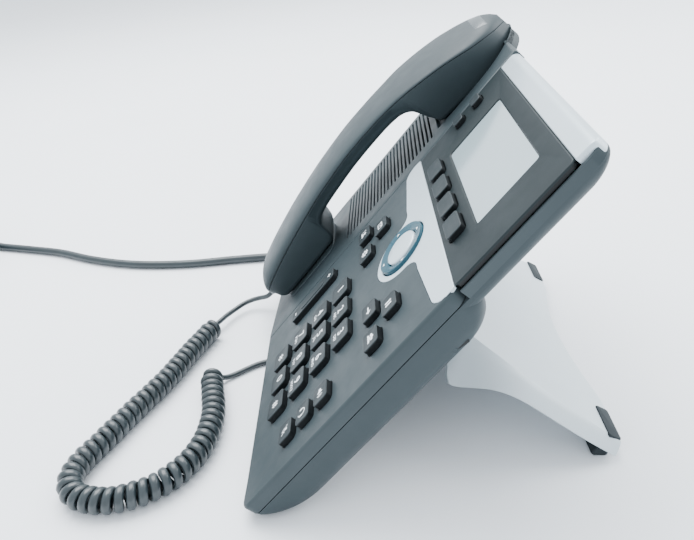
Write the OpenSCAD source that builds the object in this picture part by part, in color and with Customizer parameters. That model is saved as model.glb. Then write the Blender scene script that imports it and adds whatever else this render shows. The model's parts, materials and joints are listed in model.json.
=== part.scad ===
// Two-line desk IP phone: a base that leans back on a clip-on foot stand, a corded handset,
// a keypad, a display and the two cords. The face frame has x to the phone's right, y up the
// face and z out of it, with the lower edge of the face at y = 0; lean() turns that frame back
// from the table. The row frame stands on the table, with the front towards -Y.

/* [Stance] */
// Lean of the face from the table, degrees
face_tilt = 47; // [44:0.5:50]
// Height of the face's lower edge above the table
front_lift = 6.5; // [6:0.25:8]
// Distance of the face's lower edge in front of the origin
front_setback = 81.65; // [78:0.05:86]

/* [Base] */
// Width of the base
body_w = 206; // [204:1:208]
// Height of the face, measured up the lean
face_h = 205; // [203:1:207]
// Height of the key panel up to the display bezel
panel_h = 136.2; // [136:0.1:137]
// Thickness of the moulded walls
wall = 2.2; // [2:0.1:2.4]
// Depth of the seam between the front and rear covers
seam = 6.5; // [6:0.1:7]
// Depth of the lower case behind the face
case_d = 24.5; // [24:0.1:26]
// Depth of the display case behind the face
screen_case_d = 13.5; // [13.5:0.1:15]
// Middle of the key panel, to the right of the phone's middle
panel_x = 38; // [37:0.5:39]
// Half the width of the key panel, up to the crease beside the handset
panel_half = 66; // [65:0.5:66]
// Drop of the handset side's outer edge below the face
side_drop = 4.5; // [4:0.1:4.8]

/* [Display] */
// Lower edge of the display bezel
bezel_y0 = 136.4; // [136.2:0.1:137]
// Upper edge of the display bezel
bezel_y1 = 194.6; // [194:0.1:195]
// Left edge of the display bezel
bezel_x0 = -22.7; // [-23:0.1:-22]
// Width of the screen window
window_w = 74; // [70:1:76]
// Height of the screen window
window_h = 32.6; // [30:0.2:33]

/* [Keys] */
// Height of the keys above the face
key_rise = 2.8; // [2:0.1:3]
// Travel of a key
key_travel = 1.2; // [0.8:0.1:1.2]
// Gap between a key and the edge of its hole
key_gap = 0.35; // [0.3:0.05:0.4]
// Spacing of the keypad columns
pad_pitch_x = 18.4; // [18:0.1:18.6]
// Spacing of the keypad rows
pad_pitch_y = 16.5; // [16.3:0.1:16.7]
// Outer radius of the navigation ring
ring_r = 13.7; // [13.5:0.1:13.8]

/* [Handset] */
// Middle of the handset, from the phone's middle
handset_x = -67; // [-68:0.5:-66]
// Wall of the handset shells
shell_t = 2; // [1.8:0.1:2.2]

/* [Foot stand] */
// Lean of the stand plate from the face's normal, degrees
stand_lean = 8.6; // [8:0.1:9]
// Height on the face at which the stand plate meets the rear cover
stand_root_y = 97; // [96:0.5:98]
// Thickness of the stand plate
stand_t = 2.4; // [2:0.1:2.6]

/* [Cords] */
// Diameter of the handset cord's lead
lead_d = 3; // [3:0.1:3.2]
// Outer diameter of the curly part of the handset cord
curl_d = 12.4; // [12:0.1:12.6]
// Diameter of the network cord
net_d = 5.6; // [5.4:0.1:5.8]

/* [Hidden] */
$fn = 48;
eps = 0.01;

// Colours
shell_c = [0.33, 0.38, 0.40];
key_c = [0.30, 0.34, 0.36];
silver_c = [0.80, 0.84, 0.87];
rubber_c = [0.10, 0.11, 0.12];
cord_c = [0.17, 0.21, 0.23];

// Levels behind the face
key_under = 3.4;
key_flange = 0.8;
membrane_top = 7.2;
board_top = 11.0;
board_t = 1.6;

// Places on the face
half_w = body_w / 2;
crease_x = panel_x - panel_half;
split_x = bezel_x0 - 1.3;
pad_y0 = 22.6;
pad_key = [13.5, 12];
round_key = [11.5, 9];
soft_key = [14.5, 8.5];
line_key = [8.4, 6];
soft_y = 144.4;
soft_pitch = 19.7;
cluster_x = 36;
cluster_y = 105;
cluster_step = [10.2, 12.5];
side_x = 46.4;
side_key = [11.6, 9];
side_y0 = 33.8;
side_pitch = 12.7;
rocker = [9, 37];
rocker_y = 48;
rocker_pin_r = 1.2;
rocker_pin_z = -4.2;
nav_c = [panel_x, 114.6];
ring_bore = 9.3;
ring_pin_r = 1;
ring_pin_z = -2.6;
select_r = 8.3;
window_c = [42.3, 169.8];
ear_c = [handset_x, 183];
ear_r = 27;
trim_drop = 6;
trim_x1 = half_w - 1.8;
trim_r = 4;
grille_y = 74;
grille_pitch = 3;
grille_n = 25;
jack_y = 60;
jack_half = [41, 11];
dc_r = 2.85;
dc_x = -34;
net_jack_x = [-14, 3];
cord_jack_x = [18, 33];
SCREWS = [[-90, 30], [-90, 66], [90, 30], [90, 118]];
stand_len = (stand_root_y * sin(face_tilt) - (case_d + 0.5) * cos(face_tilt) + front_lift)
    / cos(face_tilt + stand_lean);
stand_end = stand_len - 10.5;

// Centres of the keypad keys, row by row from the top
function pad_at(i) = [panel_x + (i % 3 - 1) * pad_pitch_x, pad_y0 + (3 - floor(i / 3)) * pad_pitch_y];
function cluster_at(side, i) = i == 0
    ? [panel_x + side * cluster_x, cluster_y]
    : [panel_x + side * cluster_x + (2 * i - 3) * cluster_step[0], cluster_y - cluster_step[1]];
function side_at(i) = [panel_x + side_x, side_y0 + i * side_pitch];
function soft_at(i) = [panel_x + (i - 1.5) * soft_pitch, soft_y];
function line_at(i) = [-14.6, 177 - 12 * i];

// Every hole that a key stands in: centre, size
PANEL_KEYS = concat(
    [for (i = [0:11]) [pad_at(i), pad_key]],
    [for (i = [0:2]) [cluster_at(-1, i), round_key]],
    [for (i = [0:2]) [cluster_at(1, i), round_key]],
    [for (i = [0:2]) [side_at(i), side_key]]);
BEZEL_KEYS = concat(
    [for (i = [0:3]) [soft_at(i), soft_key]],
    [for (i = [0:1]) [line_at(i), line_key]]);

// Handset stations: place up the face, underside, edge of the back, crown, half width
STATIONS = [
    [12.5, 5, 10, 13, 15], [14, 1.5, 11.5, 16.6, 18], [18, -0.4, 13.5, 20.2, 20.5],
    [27, -0.4, 16, 22.7, 21.8], [44, -0.4, 19.5, 25.7, 22.2], [61, -0.2, 22.2, 28, 22.4],
    [65, 3, 22.8, 28.4, 22.4], [68, 13.5, 23.2, 28.7, 22.4], [75, 16, 24.2, 29.3, 22.4],
    [90, 17.6, 25.6, 30.3, 22.4], [111, 18.6, 26.6, 30.7, 22.4], [131, 18.2, 26, 29.6, 22.8],
    [143, 16.9, 25, 28.3, 23.8], [149, 13, 24.4, 27.5, 24.6], [152, 3, 24, 27.1, 25.2],
    [154.5, -3.4, 23.6, 26.7, 25.6], [168, -4.9, 20.6, 23.7, 26.8], [181, -6.3, 16.8, 20.1, 27],
    [190, -7.2, 13.2, 17.2, 26], [198, -8, 9.8, 14.6, 22.4], [204.5, -8.4, 6.6, 12, 16.6],
    [208.5, -7, 4.4, 9.2, 10.4], [211, -3.4, 2.4, 6.2, 4.4]];

// Routes of the cords in the row frame, by hand
CURL = [[-45, -116.1], [-20, -126.1], [5, -135.1], [30, -147.1], [50, -156.1], [65, -163.1], [76, -164.1],
    [85, -159.1], [89, -150.1], [90, -141.1], [88, -132.1], [84, -123.1], [76, -114.1], [64, -107.1],
    [50, -104.1], [35, -104.1], [19, -107.1], [4, -110.1]];
HANDSET_LEAD = [[-67, -81.9, 13.8], [-68, -85.8, 10.5], [-71, -90.8, 8], [-71.5, -95.8, 6.8],
    [-69, -101.8, 5.8], [-62, -107.8, 5.4], [-56, -111.3, 5.8], [-50.5, -113.9, 6]];
BASE_LEAD = [[4.5, -106.9, 5], [2.2, -103.3, 2.6], [-1.2, -98.3, 1.8], [-5, -92.6, 1.8],
    [-8.6, -86.6, 1.8], [-10.6, -79.9, 1.8], [-11, -71.9, 1.8], [-10, -57.9, 1.8], [-6, -43.9, 1.8],
    [2, -31.9, 1.8], [11, -20.9, 2.2], [16, -11.9, 4.4], [18, -6.5, 9.6], [18, -7.3, 16.4],
    [18, -11.9, 22.6], [18, -15.9, 26.9], [18, -19.5, 30.4]];
NET_CORD = [[-14, -6.7, 18.6], [-14, -1.3, 13.4], [-15.5, 6.4, 8], [-21, 15.4, 4.2], [-32, 21.4, 3],
    [-45, 21.4, 3], [-60, 15.4, 3], [-75, 6.4, 3], [-90, -6.6, 3], [-106, -22.6, 3], [-124, -48.1, 3],
    [-135, -83.1, 3], [-137, -118.1, 3], [-137, -148.1, 3], [-141, -178.1, 3], [-148, -203.1, 3],
    [-160, -230.1, 3], [-176, -258.1, 3], [-188, -288.1, 3], [-197, -316.1, 4.5], [-205, -334.1, 7]];
// Middle and mean radius of the coil that holds the rest of the network cord, and its end
coil_c = [-179, -356.1];
coil_r = 31;
NET_TAIL = [[-176, -387.5, 5], [-168, -387.7, 4.8], [-157, -388.1, 4.7], [-146, -388.1, 4.7]];

module lean() {
    translate([0, -front_setback, front_lift]) rotate([face_tilt, 0, 0]) children();
}

// ---------- outlines ----------
module round_rect(w, h, r) {
    square([w, h - 2 * r], center = true);
    square([w - 2 * r, h], center = true);
    for (sx = [-1, 1], sy = [-1, 1]) {
        translate([sx * (w / 2 - r), sy * (h / 2 - r)]) circle(r);
    }
}
// Rounded slab between two corners, from z0 to z1
module slab(x0, x1, y0, y1, z0, z1, r) {
    translate([(x0 + x1) / 2, (y0 + y1) / 2, z0])
        linear_extrude(z1 - z0) round_rect(x1 - x0, y1 - y0, r);
}
// Plan of the front cover: the key panel and the strip beside the display
module cover_plan(inset) {
    r = 5.5 - inset;
    translate([0, panel_h / 2]) round_rect(body_w - 2 * inset, panel_h - 2 * inset, r);
    translate([-half_w + inset, face_h - 60])
        square([split_x + half_w - 2 * inset, 60 - inset - r]);
    translate([-half_w + inset + r, face_h - inset - r - 1])
        square([split_x + half_w - 2 * inset - r, r + 1]);
    translate([-half_w + inset + r, face_h - inset - r]) circle(r);
    translate([-half_w + inset, panel_h - 20])
        square([split_x + half_w - 2 * inset, 40]);
}
// Plan of the handset's ear end, grown by a margin
module ear_plan(grow) {
    translate(ear_c) circle(ear_r + grow);
    foot_w = 25.8 + grow;
    side_w = ear_r + grow;
    translate([handset_x, 0]) polygon([[-foot_w, 152.4 - grow], [foot_w, 152.4 - grow],
        [side_w, 170], [side_w, ear_c[1]], [-side_w, ear_c[1]], [-side_w, 170]]);
}
// Silver wing: a band under the display with a round lobe about the navigation ring
module wing_plan(grow) {
    lobe_r = 17.4 + grow;
    fillet_r = 7 - grow;
    band_y = 121 - grow;
    fx = sqrt(pow(lobe_r + fillet_r, 2) - pow(nav_c[1] - band_y + fillet_r, 2));
    k = lobe_r / (lobe_r + fillet_r);
    translate([panel_x, 0]) {
        translate([0, nav_c[1]]) circle(lobe_r);
        difference() {
            polygon([[-fx, band_y], [-fx, band_y + 1], [fx, band_y + 1], [fx, band_y],
                [fx * k, nav_c[1] - (nav_c[1] - band_y + fillet_r) * k],
                [-fx * k, nav_c[1] - (nav_c[1] - band_y + fillet_r) * k]]);
            for (s = [-1, 1]) translate([s * fx, band_y - fillet_r]) circle(fillet_r);
        }
        polygon([[-56, 124.2 - grow], [-28, band_y], [28, band_y], [56, 124.2 - grow],
            [56, panel_h], [-56, panel_h]]);
        for (s = [-1, 1]) intersection() {
            translate([s * 55.8, 132.2]) circle(8 + grow);
            translate([s * 60, 126]) square([20, 2 * (panel_h - 126)], center = true);
        }
    }
}

// ---------- base shells ----------
// Section of the front cover across the phone, lowered by a depth
module face_profile(depth) {
    polygon([[half_w + 1, -30], [half_w + 1, -depth], [crease_x, -depth],
        [-half_w - 1, -side_drop - depth], [-half_w - 1, -30]]);
}
module face_solid(depth) {
    translate([0, -1, 0]) rotate([90, 0, 0]) mirror([0, 0, 1])
        linear_extrude(face_h + 2) face_profile(depth);
}
module ear_pocket(grow) {
    intersection() {
        translate([handset_x - 40, 0, 0]) rotate([90, 0, 90]) linear_extrude(80)
            polygon([[150, 9], [150, -3.6 - grow], [206, -9.2 - grow], [214, -9.2 - grow], [214, 9]]);
        translate([0, 0, -20]) linear_extrude(40) ear_plan(0.6 + grow);
    }
}
module key_holes(list, depth) {
    for (k = list) {
        translate([k[0][0], k[0][1], -depth])
            linear_extrude(depth + 3) round_rect(k[1][0] + 2 * key_gap, k[1][1] + 2 * key_gap, 2.4);
    }
}
module grille_slots() {
    for (i = [0:grille_n - 1]) {
        translate([-97, grille_y + grille_pitch * i, -12]) cube([60, 1.3, 14]);
    }
}
module front_cover() {
    color(shell_c) lean() {
        difference() {
            union() {
                difference() {
                    intersection() {
                        face_solid(0);
                        translate([0, 0, -seam]) linear_extrude(seam + 3) cover_plan(0);
                    }
                    intersection() {
                        face_solid(wall);
                        translate([0, 0, -seam - 1]) linear_extrude(seam + 3) cover_plan(wall);
                    }
                }
                intersection() {
                    ear_pocket(1.7);
                    face_solid(eps);
                    translate([0, 0, -30]) linear_extrude(60) cover_plan(eps);
                }
                slab(handset_x - 19, handset_x + 19, 17, 61, -5, -0.8, 6);
                for (s = [-1, 1]) {
                    translate([panel_x - side_x + s * 7.2 - 1, rocker_y - 2.5, -5.9]) cube([2, 5, 4.5]);
                    translate([nav_c[0] + s * (ring_r + 1.8) - 1.1, nav_c[1] - 2.4, -5.2])
                        cube([2.2, 4.8, 3.4]);
                }
            }
            ear_pocket(0);
            key_holes(PANEL_KEYS, 9);
            translate([panel_x - side_x, rocker_y, -9])
                linear_extrude(12) round_rect(rocker[0] + 0.8, rocker[1] + 1, 2.4);
            translate([panel_x - side_x - 12, rocker_y, rocker_pin_z])
                rotate([0, 90, 0]) cylinder(h = 24, r = rocker_pin_r + 0.06);
            translate([nav_c[0] - ring_r - 4, nav_c[1], ring_pin_z])
                rotate([0, 90, 0]) cylinder(h = 2 * ring_r + 8, r = ring_pin_r + 0.06);
            translate([nav_c[0], nav_c[1], -9]) cylinder(h = 12, r = ring_r + 0.5);
            translate([0, 0, -1.25]) linear_extrude(3) wing_plan(0.15);
            grille_slots();
            translate([handset_x, 163, -14]) cylinder(h = 14, r = 4.3);
            lead_channel();
        }
    }
}
module case_lower(g) {
    hull() {
        slab(-half_w + g, half_w - g, -1.5 + g, 139 - g, -seam, -seam + eps, 7);
        slab(-half_w + 1 + g, half_w - 1 - g, 5 + g, 137.5 - g, -14, -13.9, 8);
        slab(-half_w + 4 + g, half_w - 4 - g, 13 + g, 132 - g, -20.4 + g, -20.3 + g, 9);
        slab(-half_w + 11 + g, half_w - 11 - g, 22 + g, 124 - g, -case_d + g, -case_d + g + 0.1, 9);
    }
}
module case_upper(g) {
    hull() {
        slab(-half_w + g, half_w - g, 100, face_h - 0.4 - g, -7, -2.2 + g * 2, 7);
        slab(-half_w + 2 + g, half_w - 2 - g, 100, 201.6 - g, -10.6, -10.5, 8);
        slab(-half_w + 6 + g, half_w - 6 - g, 100, 197 - g, -screen_case_d + g, -screen_case_d + g + 0.1, 8);
    }
}
// Raised seat on the rear cover that the foot stand clips to
module stand_seat(g) {
    translate([-46 + g, 0, 0]) rotate([90, 0, 90]) linear_extrude(92 - 2 * g)
        polygon([[74 + g, -20], [80 + g, -44 + g], [94.6 - g, -44 + g], [92 - g, -20]]);
}
module rear_cover() {
    color(shell_c) lean() {
        difference() {
            union() {
                case_lower(0);
                case_upper(0);
                stand_seat(0);
            }
            case_lower(wall);
            case_upper(wall);
            stand_seat(wall);
            // the front cover's side of the case stops at the seam
            translate([-150, -10, -seam + eps]) cube([150 + split_x + 0.3, 230, 20]);
            translate([-150, -10, -seam + eps]) cube([300, 10 + bezel_y0 + 2.9, 20]);
            ear_pocket(1.9);
            translate([split_x, bezel_y1, -trim_drop - 0.2]) cube([trim_x1 + 0.2 - split_x, 20, 10]);
            // opening for the jacks, slots for the stand and for a wall hook
            translate([-jack_half[0] - 0.3, jack_y - jack_half[1] - 0.3, -30])
                cube([2 * jack_half[0] + 0.6, 2 * jack_half[1] + 0.6, 12]);
            for (s = [-1, 1]) {
                translate([s * 28 - 5.4, stand_root_y - 1.8, -28]) cube([10.8, 5, 8]);
                translate([s * 60 - 4.2, 108, -28]) cube([8.4, 4, 8]);
            }
            lead_channel();
        }
    }
}
// Channel for the handset cord under the front lip
module lead_channel() {
    lean_back() translate([-15, -front_setback - 4, -1]) cube([9, 34, 5]);
}
// Undoes lean(), so that a row-frame shape can be cut from a face-frame one
module lean_back() {
    rotate([-face_tilt, 0, 0]) translate([0, front_setback, -front_lift]) children();
}
module display_bezel() {
    color([0.36, 0.40, 0.42]) lean() {
        difference() {
            slab(bezel_x0, half_w - 1.2, bezel_y0, bezel_y1, -2, 0.4, 2.5);
            key_holes(BEZEL_KEYS, 9);
            translate([window_c[0], window_c[1], -5])
                linear_extrude(10) round_rect(window_w - 3, window_h - 3, 1.2);
            translate([window_c[0], window_c[1], -1.1])
                linear_extrude(10) round_rect(window_w, window_h, 1.5);
        }
    }
}
module display_window() {
    color([0.72, 0.80, 0.84]) lean() {
        translate([window_c[0], window_c[1], -1.1])
            linear_extrude(1) round_rect(window_w - 0.2, window_h - 0.2, 1.4);
    }
}
module lcd_panel() {
    color([0.62, 0.70, 0.72]) lean() {
        slab(window_c[0] - 42, window_c[0] + 42, window_c[1] - 19, window_c[1] + 21, -6, -2.6, 1);
    }
}
// Side profile of the silver strip that rolls over the top edge, set in by g
module trim_profile(g) {
    y0 = bezel_y1 + 0.2;
    intersection() {
        translate([y0, -trim_drop - g]) square([face_h - y0, trim_drop + g]);
        union() {
            translate([y0, -trim_drop - g]) square([face_h - trim_r - y0, trim_drop]);
            translate([y0, -trim_drop - g]) square([face_h - g - y0, trim_drop - trim_r + g]);
            translate([face_h - trim_r, -trim_r]) circle(trim_r - g);
        }
    }
}
module top_trim() {
    w = trim_x1 - split_x - 0.4;
    color(silver_c) lean() {
        translate([split_x + 0.4, 0, 0]) rotate([90, 0, 90]) difference() {
            linear_extrude(w) trim_profile(0);
            translate([0, 0, 1.6]) linear_extrude(w - 3.2) trim_profile(1.6);
        }
    }
}
module wing_trim() {
    color(silver_c) lean() {
        difference() {
            translate([0, 0, -1.2]) linear_extrude(1.25) wing_plan(0);
            translate([nav_c[0], nav_c[1], -9]) cylinder(h = 12, r = ring_r + 0.5);
        }
    }
}

// ---------- inside the base ----------
module main_board() {
    color([0.12, 0.36, 0.24]) lean() {
        difference() {
            slab(-22, 97, 12, 128, -board_top - board_t, -board_top, 2);
            for (c = SCREWS) translate([c[0], c[1], -board_top - 3]) cylinder(h = 5, r = 3);
        }
        slab(-20, 96, 140, 192, -10.6, -9.2, 2);
        slab(20, 36, 80, 96, -board_top - board_t - 1.6, -board_top - board_t + eps, 0.5);
        slab(50, 61, 84, 95, -board_top - board_t - 1.2, -board_top - board_t + eps, 0.5);
        translate([80, 30, -board_top - board_t - 8]) cylinder(h = 8, r = 4);
        translate([40, 126, -board_top + eps]) cube([20, 14, 1]);
    }
}
module key_membrane() {
    color([0.75, 0.76, 0.74]) lean() {
        difference() {
            union() {
                slab(-20, 96, 12, 128, -membrane_top - 0.8, -membrane_top, 3);
                for (k = PANEL_KEYS) {
                    translate([k[0][0], k[0][1], -membrane_top - eps]) cylinder(h = 2.25, r1 = 4, r2 = 2.6);
                }
                translate([nav_c[0], nav_c[1], -membrane_top - eps]) cylinder(h = 1, r1 = 4, r2 = 2.6);
            }
            translate([panel_x - side_x - 6, rocker_y - 20, -9]) cube([12, 40, 3]);
        }
        slab(-20, 2, 160, 192, -8.4, -7.6, 2);
        slab(-2, 78, 139.4, 149.6, -8.4, -7.6, 2);
        for (k = BEZEL_KEYS) {
            translate([k[0][0], k[0][1], -7.7]) cylinder(h = 2.7, r1 = 3.4, r2 = 2.2);
        }
    }
}
module loudspeaker() {
    color([0.22, 0.22, 0.23]) lean() {
        translate([handset_x, 106, -20]) {
            cylinder(h = 5, r = 14);
            translate([0, 0, 4.9]) cylinder(h = 4, r1 = 16, r2 = 27);
            translate([0, 0, 8.8]) cylinder(h = 1.6, r = 28);
        }
    }
}
// Moulded block of jacks on the rear: power, handset, headset, network and computer
module jack_block() {
    color([0.16, 0.17, 0.18]) lean() {
        difference() {
            translate([-jack_half[0], jack_y - jack_half[1], -case_d])
                cube([2 * jack_half[0], 2 * jack_half[1], 11.6]);
            translate([dc_x, jack_y, -case_d - 1]) cylinder(h = 10.5, r = dc_r);
            for (x = net_jack_x) {
                translate([x - 5.95, jack_y - 4.2, -case_d - 1]) cube([11.9, 8.2, 11]);
                translate([x - 3.2, jack_y - 7.2, -case_d - 1]) cube([6.4, 3.1, 11]);
            }
            for (x = cord_jack_x) {
                translate([x - 3.9, jack_y - 3.4, -case_d - 1]) cube([7.8, 6.8, 9]);
            }
        }
    }
}
module cover_screws() {
    color([0.55, 0.56, 0.58]) lean() {
        for (c = SCREWS) {
            translate([c[0], c[1], -seam - 12]) {
                cylinder(h = 10, r = 1.3);
                cylinder(h = 2, r = 2.7);
            }
        }
    }
}

// ---------- foot stand ----------
function stand_half(s) = 34 + 0.63 * s - 0.0015 * s * s;
// Depth of the side flange and its spread, from the root s = 0 to the foot
function flange_depth(s) = 3.2 + 16.5 * exp(-pow((s - flange_s0) / 13, 1.5));
function flange_out(s) = 10.3 - 0.0021 * pow(s - 40, 2);
flange_s0 = 25.5;
arch_depth = 9;
arch_half = 51;
arch_r = 280;
STAND_S = [for (i = [0:12]) stand_end * i / 12];
module stand_frame() {
    lean() translate([0, stand_root_y, -case_d - 0.5]) rotate([-90 + stand_lean, 0, 0]) children();
}
module stand_plate_plan() {
    difference() {
        polygon(concat([for (s = STAND_S) [stand_half(s), s]],
            [for (i = [12:-1:0]) [-stand_half(STAND_S[i]), STAND_S[i]]]));
        intersection() {
            translate([0, stand_end - arch_depth + arch_r]) circle(arch_r, $fn = 240);
            translate([0, stand_end]) square([2 * arch_half, 30], center = true);
        }
    }
}
module stand_flange() {
    FS = [for (i = [0:17]) flange_s0 + (stand_end - flange_s0) * i / 17];
    ring = [for (s = FS) [
        [stand_half(s) - 1.5, s, 0], [stand_half(s), s, stand_t],
        [stand_half(s) + flange_out(s), s, -flange_depth(s)],
        [stand_half(s) + flange_out(s) - 2, s, -flange_depth(s) - 0.6]]];
    n = len(FS);
    polyhedron(points = [for (r = ring, p = r) p],
        faces = concat([[0, 1, 2, 3]], [[4 * n - 1, 4 * n - 2, 4 * n - 3, 4 * n - 4]],
            [for (i = [0:n - 2], j = [0:3]) let (a = 4 * i + j, b = 4 * i + (j + 1) % 4) [a, a + 4, b + 4]],
            [for (i = [0:n - 2], j = [0:3]) let (a = 4 * i + j, b = 4 * i + (j + 1) % 4) [a, b + 4, b]]));
}
module foot_stand() {
    color(silver_c) {
        difference() {
            stand_frame() {
                linear_extrude(stand_t) stand_plate_plan();
                for (s = [0, 1]) mirror([s, 0, 0]) {
                    stand_flange();
                    translate([23, -3, 0]) cube([10, 4, 2.2]);
                }
                for (x = [-20, 0, 20]) translate([x - 1, 21, -8]) cube([2, 41, 8.1]);
            }
            translate([-200, -200, -50]) cube([400, 400, 52]);
            pad_blocks(0);
        }
    }
}
// Rubber caps on the two corners of the stand, in the row frame
module pad_blocks(g) {
    intersection() {
        stand_frame() for (s = [-1, 1]) {
            translate([s * 70 - 10.2 + g, stand_end - 6.5 + g, -10])
                cube([20.4 - 2 * g, 7 - 2 * g, stand_t + 10.7 - g]);
        }
        translate([-200, -200, 0]) cube([400, 400, 40]);
    }
}
module rubber_feet() {
    color(rubber_c) {
        pad_blocks(0.1);
        difference() {
            for (x = [-70, 70]) translate([x - 16, -front_setback + 6.5, 0]) cube([32, 11, 3.4]);
            lean() case_lower(-0.05);
        }
    }
}

// ---------- handset ----------
// Closed skin through rings that all have the same number of points
module loft(rings) {
    n = len(rings[0]);
    m = len(rings);
    polyhedron(points = [for (r = rings, p = r) p],
        faces = concat([[for (j = [n - 1:-1:0]) j]], [[for (j = [0:n - 1]) (m - 1) * n + j]],
            [for (i = [0:m - 2], j = [0:n - 1])
                let (a = i * n + j, b = i * n + (j + 1) % n) [a, b, b + n]],
            [for (i = [0:m - 2], j = [0:n - 1])
                let (a = i * n + j, b = i * n + (j + 1) % n) [a, b + n, a + n]]));
}
// Ring under the parting line: down one side, across with rounded corners, up the other
function low_ring(s, g, up) = let (w = s[4] - g, z = s[1] + g, c = min(4, w / 3), h = max(s[2] - z, 1))
    [[handset_x - w, s[0], s[2] + up], [handset_x - w, s[0], z + min(c, h / 2)],
     [handset_x - w + c * 0.3, s[0], z + min(c, h / 2) * 0.3], [handset_x - w + c, s[0], z],
     [handset_x + w - c, s[0], z], [handset_x + w - c * 0.3, s[0], z + min(c, h / 2) * 0.3],
     [handset_x + w, s[0], z + min(c, h / 2)], [handset_x + w, s[0], s[2] + up]];
// Ring over the parting line: an arch from one side to the other
function arch_ring(s, g, down) = concat(
    [[handset_x - s[4] + g, s[0], s[2] - down]],
    [[handset_x + s[4] - g, s[0], s[2] - down]],
    [for (a = [0:15:180])
        [handset_x + (s[4] - g) * cos(a), s[0], s[2] + 0.2 + (s[3] - s[2] - g) * pow(sin(a), 0.8)]]);
INNER = [for (i = [1:len(STATIONS) - 2]) STATIONS[i]];
module back_skin() {
    loft([for (s = STATIONS) arch_ring(s, 0, -0.1)]);
}
module lamp_zone(g) {
    translate([handset_x - 13 - g, 199 - g, 8]) cube([26 + 2 * g, 6.5 + 2 * g, 20]);
}
module back_wall() {
    difference() {
        back_skin();
        loft([for (s = INNER) arch_ring(s, shell_t, 2)]);
    }
}
module handset_back_shell() {
    color(shell_c) lean() difference() {
        back_wall();
        lamp_zone(0.1);
    }
}
module message_lamp_lens() {
    color([0.75, 0.80, 0.82]) lean() intersection() {
        back_wall();
        lamp_zone(0);
    }
}
module handset_front_shell() {
    color(shell_c) lean() difference() {
        loft([for (s = STATIONS) low_ring(s, 0, 0)]);
        loft([for (s = INNER) low_ring(s, shell_t, 3)]);
        translate([handset_x - 3.9, 8, 2]) cube([7.8, 12, 6.8]);
    }
}
module receiver_capsule() {
    color([0.25, 0.26, 0.27]) lean() translate([handset_x, 180, -2.3]) {
        cylinder(h = 6, r = 16);
        translate([0, 0, 5.9]) cylinder(h = 3, r = 9);
    }
}
module microphone_capsule() {
    color([0.25, 0.26, 0.27]) lean() translate([handset_x, 40, 2.2]) cylinder(h = 5, r = 4.8);
}
module handset_cord_plug() {
    color([0.78, 0.82, 0.84]) lean() {
        translate([handset_x - 3.7, 9.6, 2.2]) cube([7.4, 13, 6.3]);
        translate([handset_x, 9.7, 5.2]) rotate([90, 0, 0]) cylinder(h = 4.5, r1 = 2.6, r2 = 1.8);
    }
}
module hook_plunger() {
    color(key_c) lean() translate([handset_x, 163, -10]) {
        cylinder(h = 4.7, r = 4);
        translate([0, 0, -1.2]) cylinder(h = 1.3, r = 3.2);
    }
}

// ---------- keys ----------
module key_cap(size) {
    translate([0, 0, -key_under]) linear_extrude(key_flange) round_rect(size[0] + 1.6, size[1] + 1.6, 2.6);
    translate([0, 0, -key_under])
        linear_extrude(key_under + key_rise - 0.7) round_rect(size[0], size[1], 2.1);
    translate([0, 0, 0]) linear_extrude(key_rise) round_rect(size[0] - 1, size[1] - 1, 1.8);
}
module key_on_face(at, size) {
    color(key_c) lean() translate([at[0], at[1], 0]) key_cap(size);
}
module nav_ring() {
    color([0.33, 0.50, 0.58]) lean() translate([nav_c[0], nav_c[1], 0]) difference() {
        union() {
            translate([0, 0, -3.4]) cylinder(h = 4.2, r = ring_r);
            cylinder(h = 1.4, r = ring_r - 0.7);
            translate([-ring_r - 2.6, 0, ring_pin_z]) rotate([0, 90, 0])
                cylinder(h = 2 * ring_r + 5.2, r = ring_pin_r);
        }
        translate([0, 0, -9]) cylinder(h = 18, r = ring_bore);
    }
}
module select_key() {
    color(silver_c) lean() translate([nav_c[0], nav_c[1], -4.6]) {
        cylinder(h = 5.4, r = select_r);
        cylinder(h = 6, r = select_r - 0.7);
    }
}
module volume_rocker() {
    color(key_c) lean() translate([panel_x - side_x, rocker_y, 0]) {
        translate([0, 0, -3]) linear_extrude(3 + key_rise - 0.7) round_rect(rocker[0], rocker[1], 2.1);
        linear_extrude(key_rise) round_rect(rocker[0] - 1, rocker[1] - 1, 1.8);
        translate([-3, -2, -5.2]) cube([6, 4, 3]);
        translate([-8.1, 0, rocker_pin_z]) rotate([0, 90, 0]) cylinder(h = 16.2, r = rocker_pin_r);
    }
}

// ---------- cords ----------
// Catmull-Rom point between p[i] and p[i + 1]
function at(p, i) = p[max(0, min(len(p) - 1, i))];
function cr(p, i, t) = 0.5 * (2 * at(p, i) + (at(p, i + 1) - at(p, i - 1)) * t
    + (2 * at(p, i - 1) - 5 * at(p, i) + 4 * at(p, i + 1) - at(p, i + 2)) * t * t
    + (3 * at(p, i) - at(p, i - 1) - 3 * at(p, i + 1) + at(p, i + 2)) * t * t * t);
function smooth(p, k) = concat([for (i = [0:len(p) - 2], j = [0:k - 1]) cr(p, i, j / k)], [p[len(p) - 1]]);
function unit(v) = v / norm(v);
function dir_at(p, i) = unit(at(p, i + 1) - at(p, i - 1));
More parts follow.
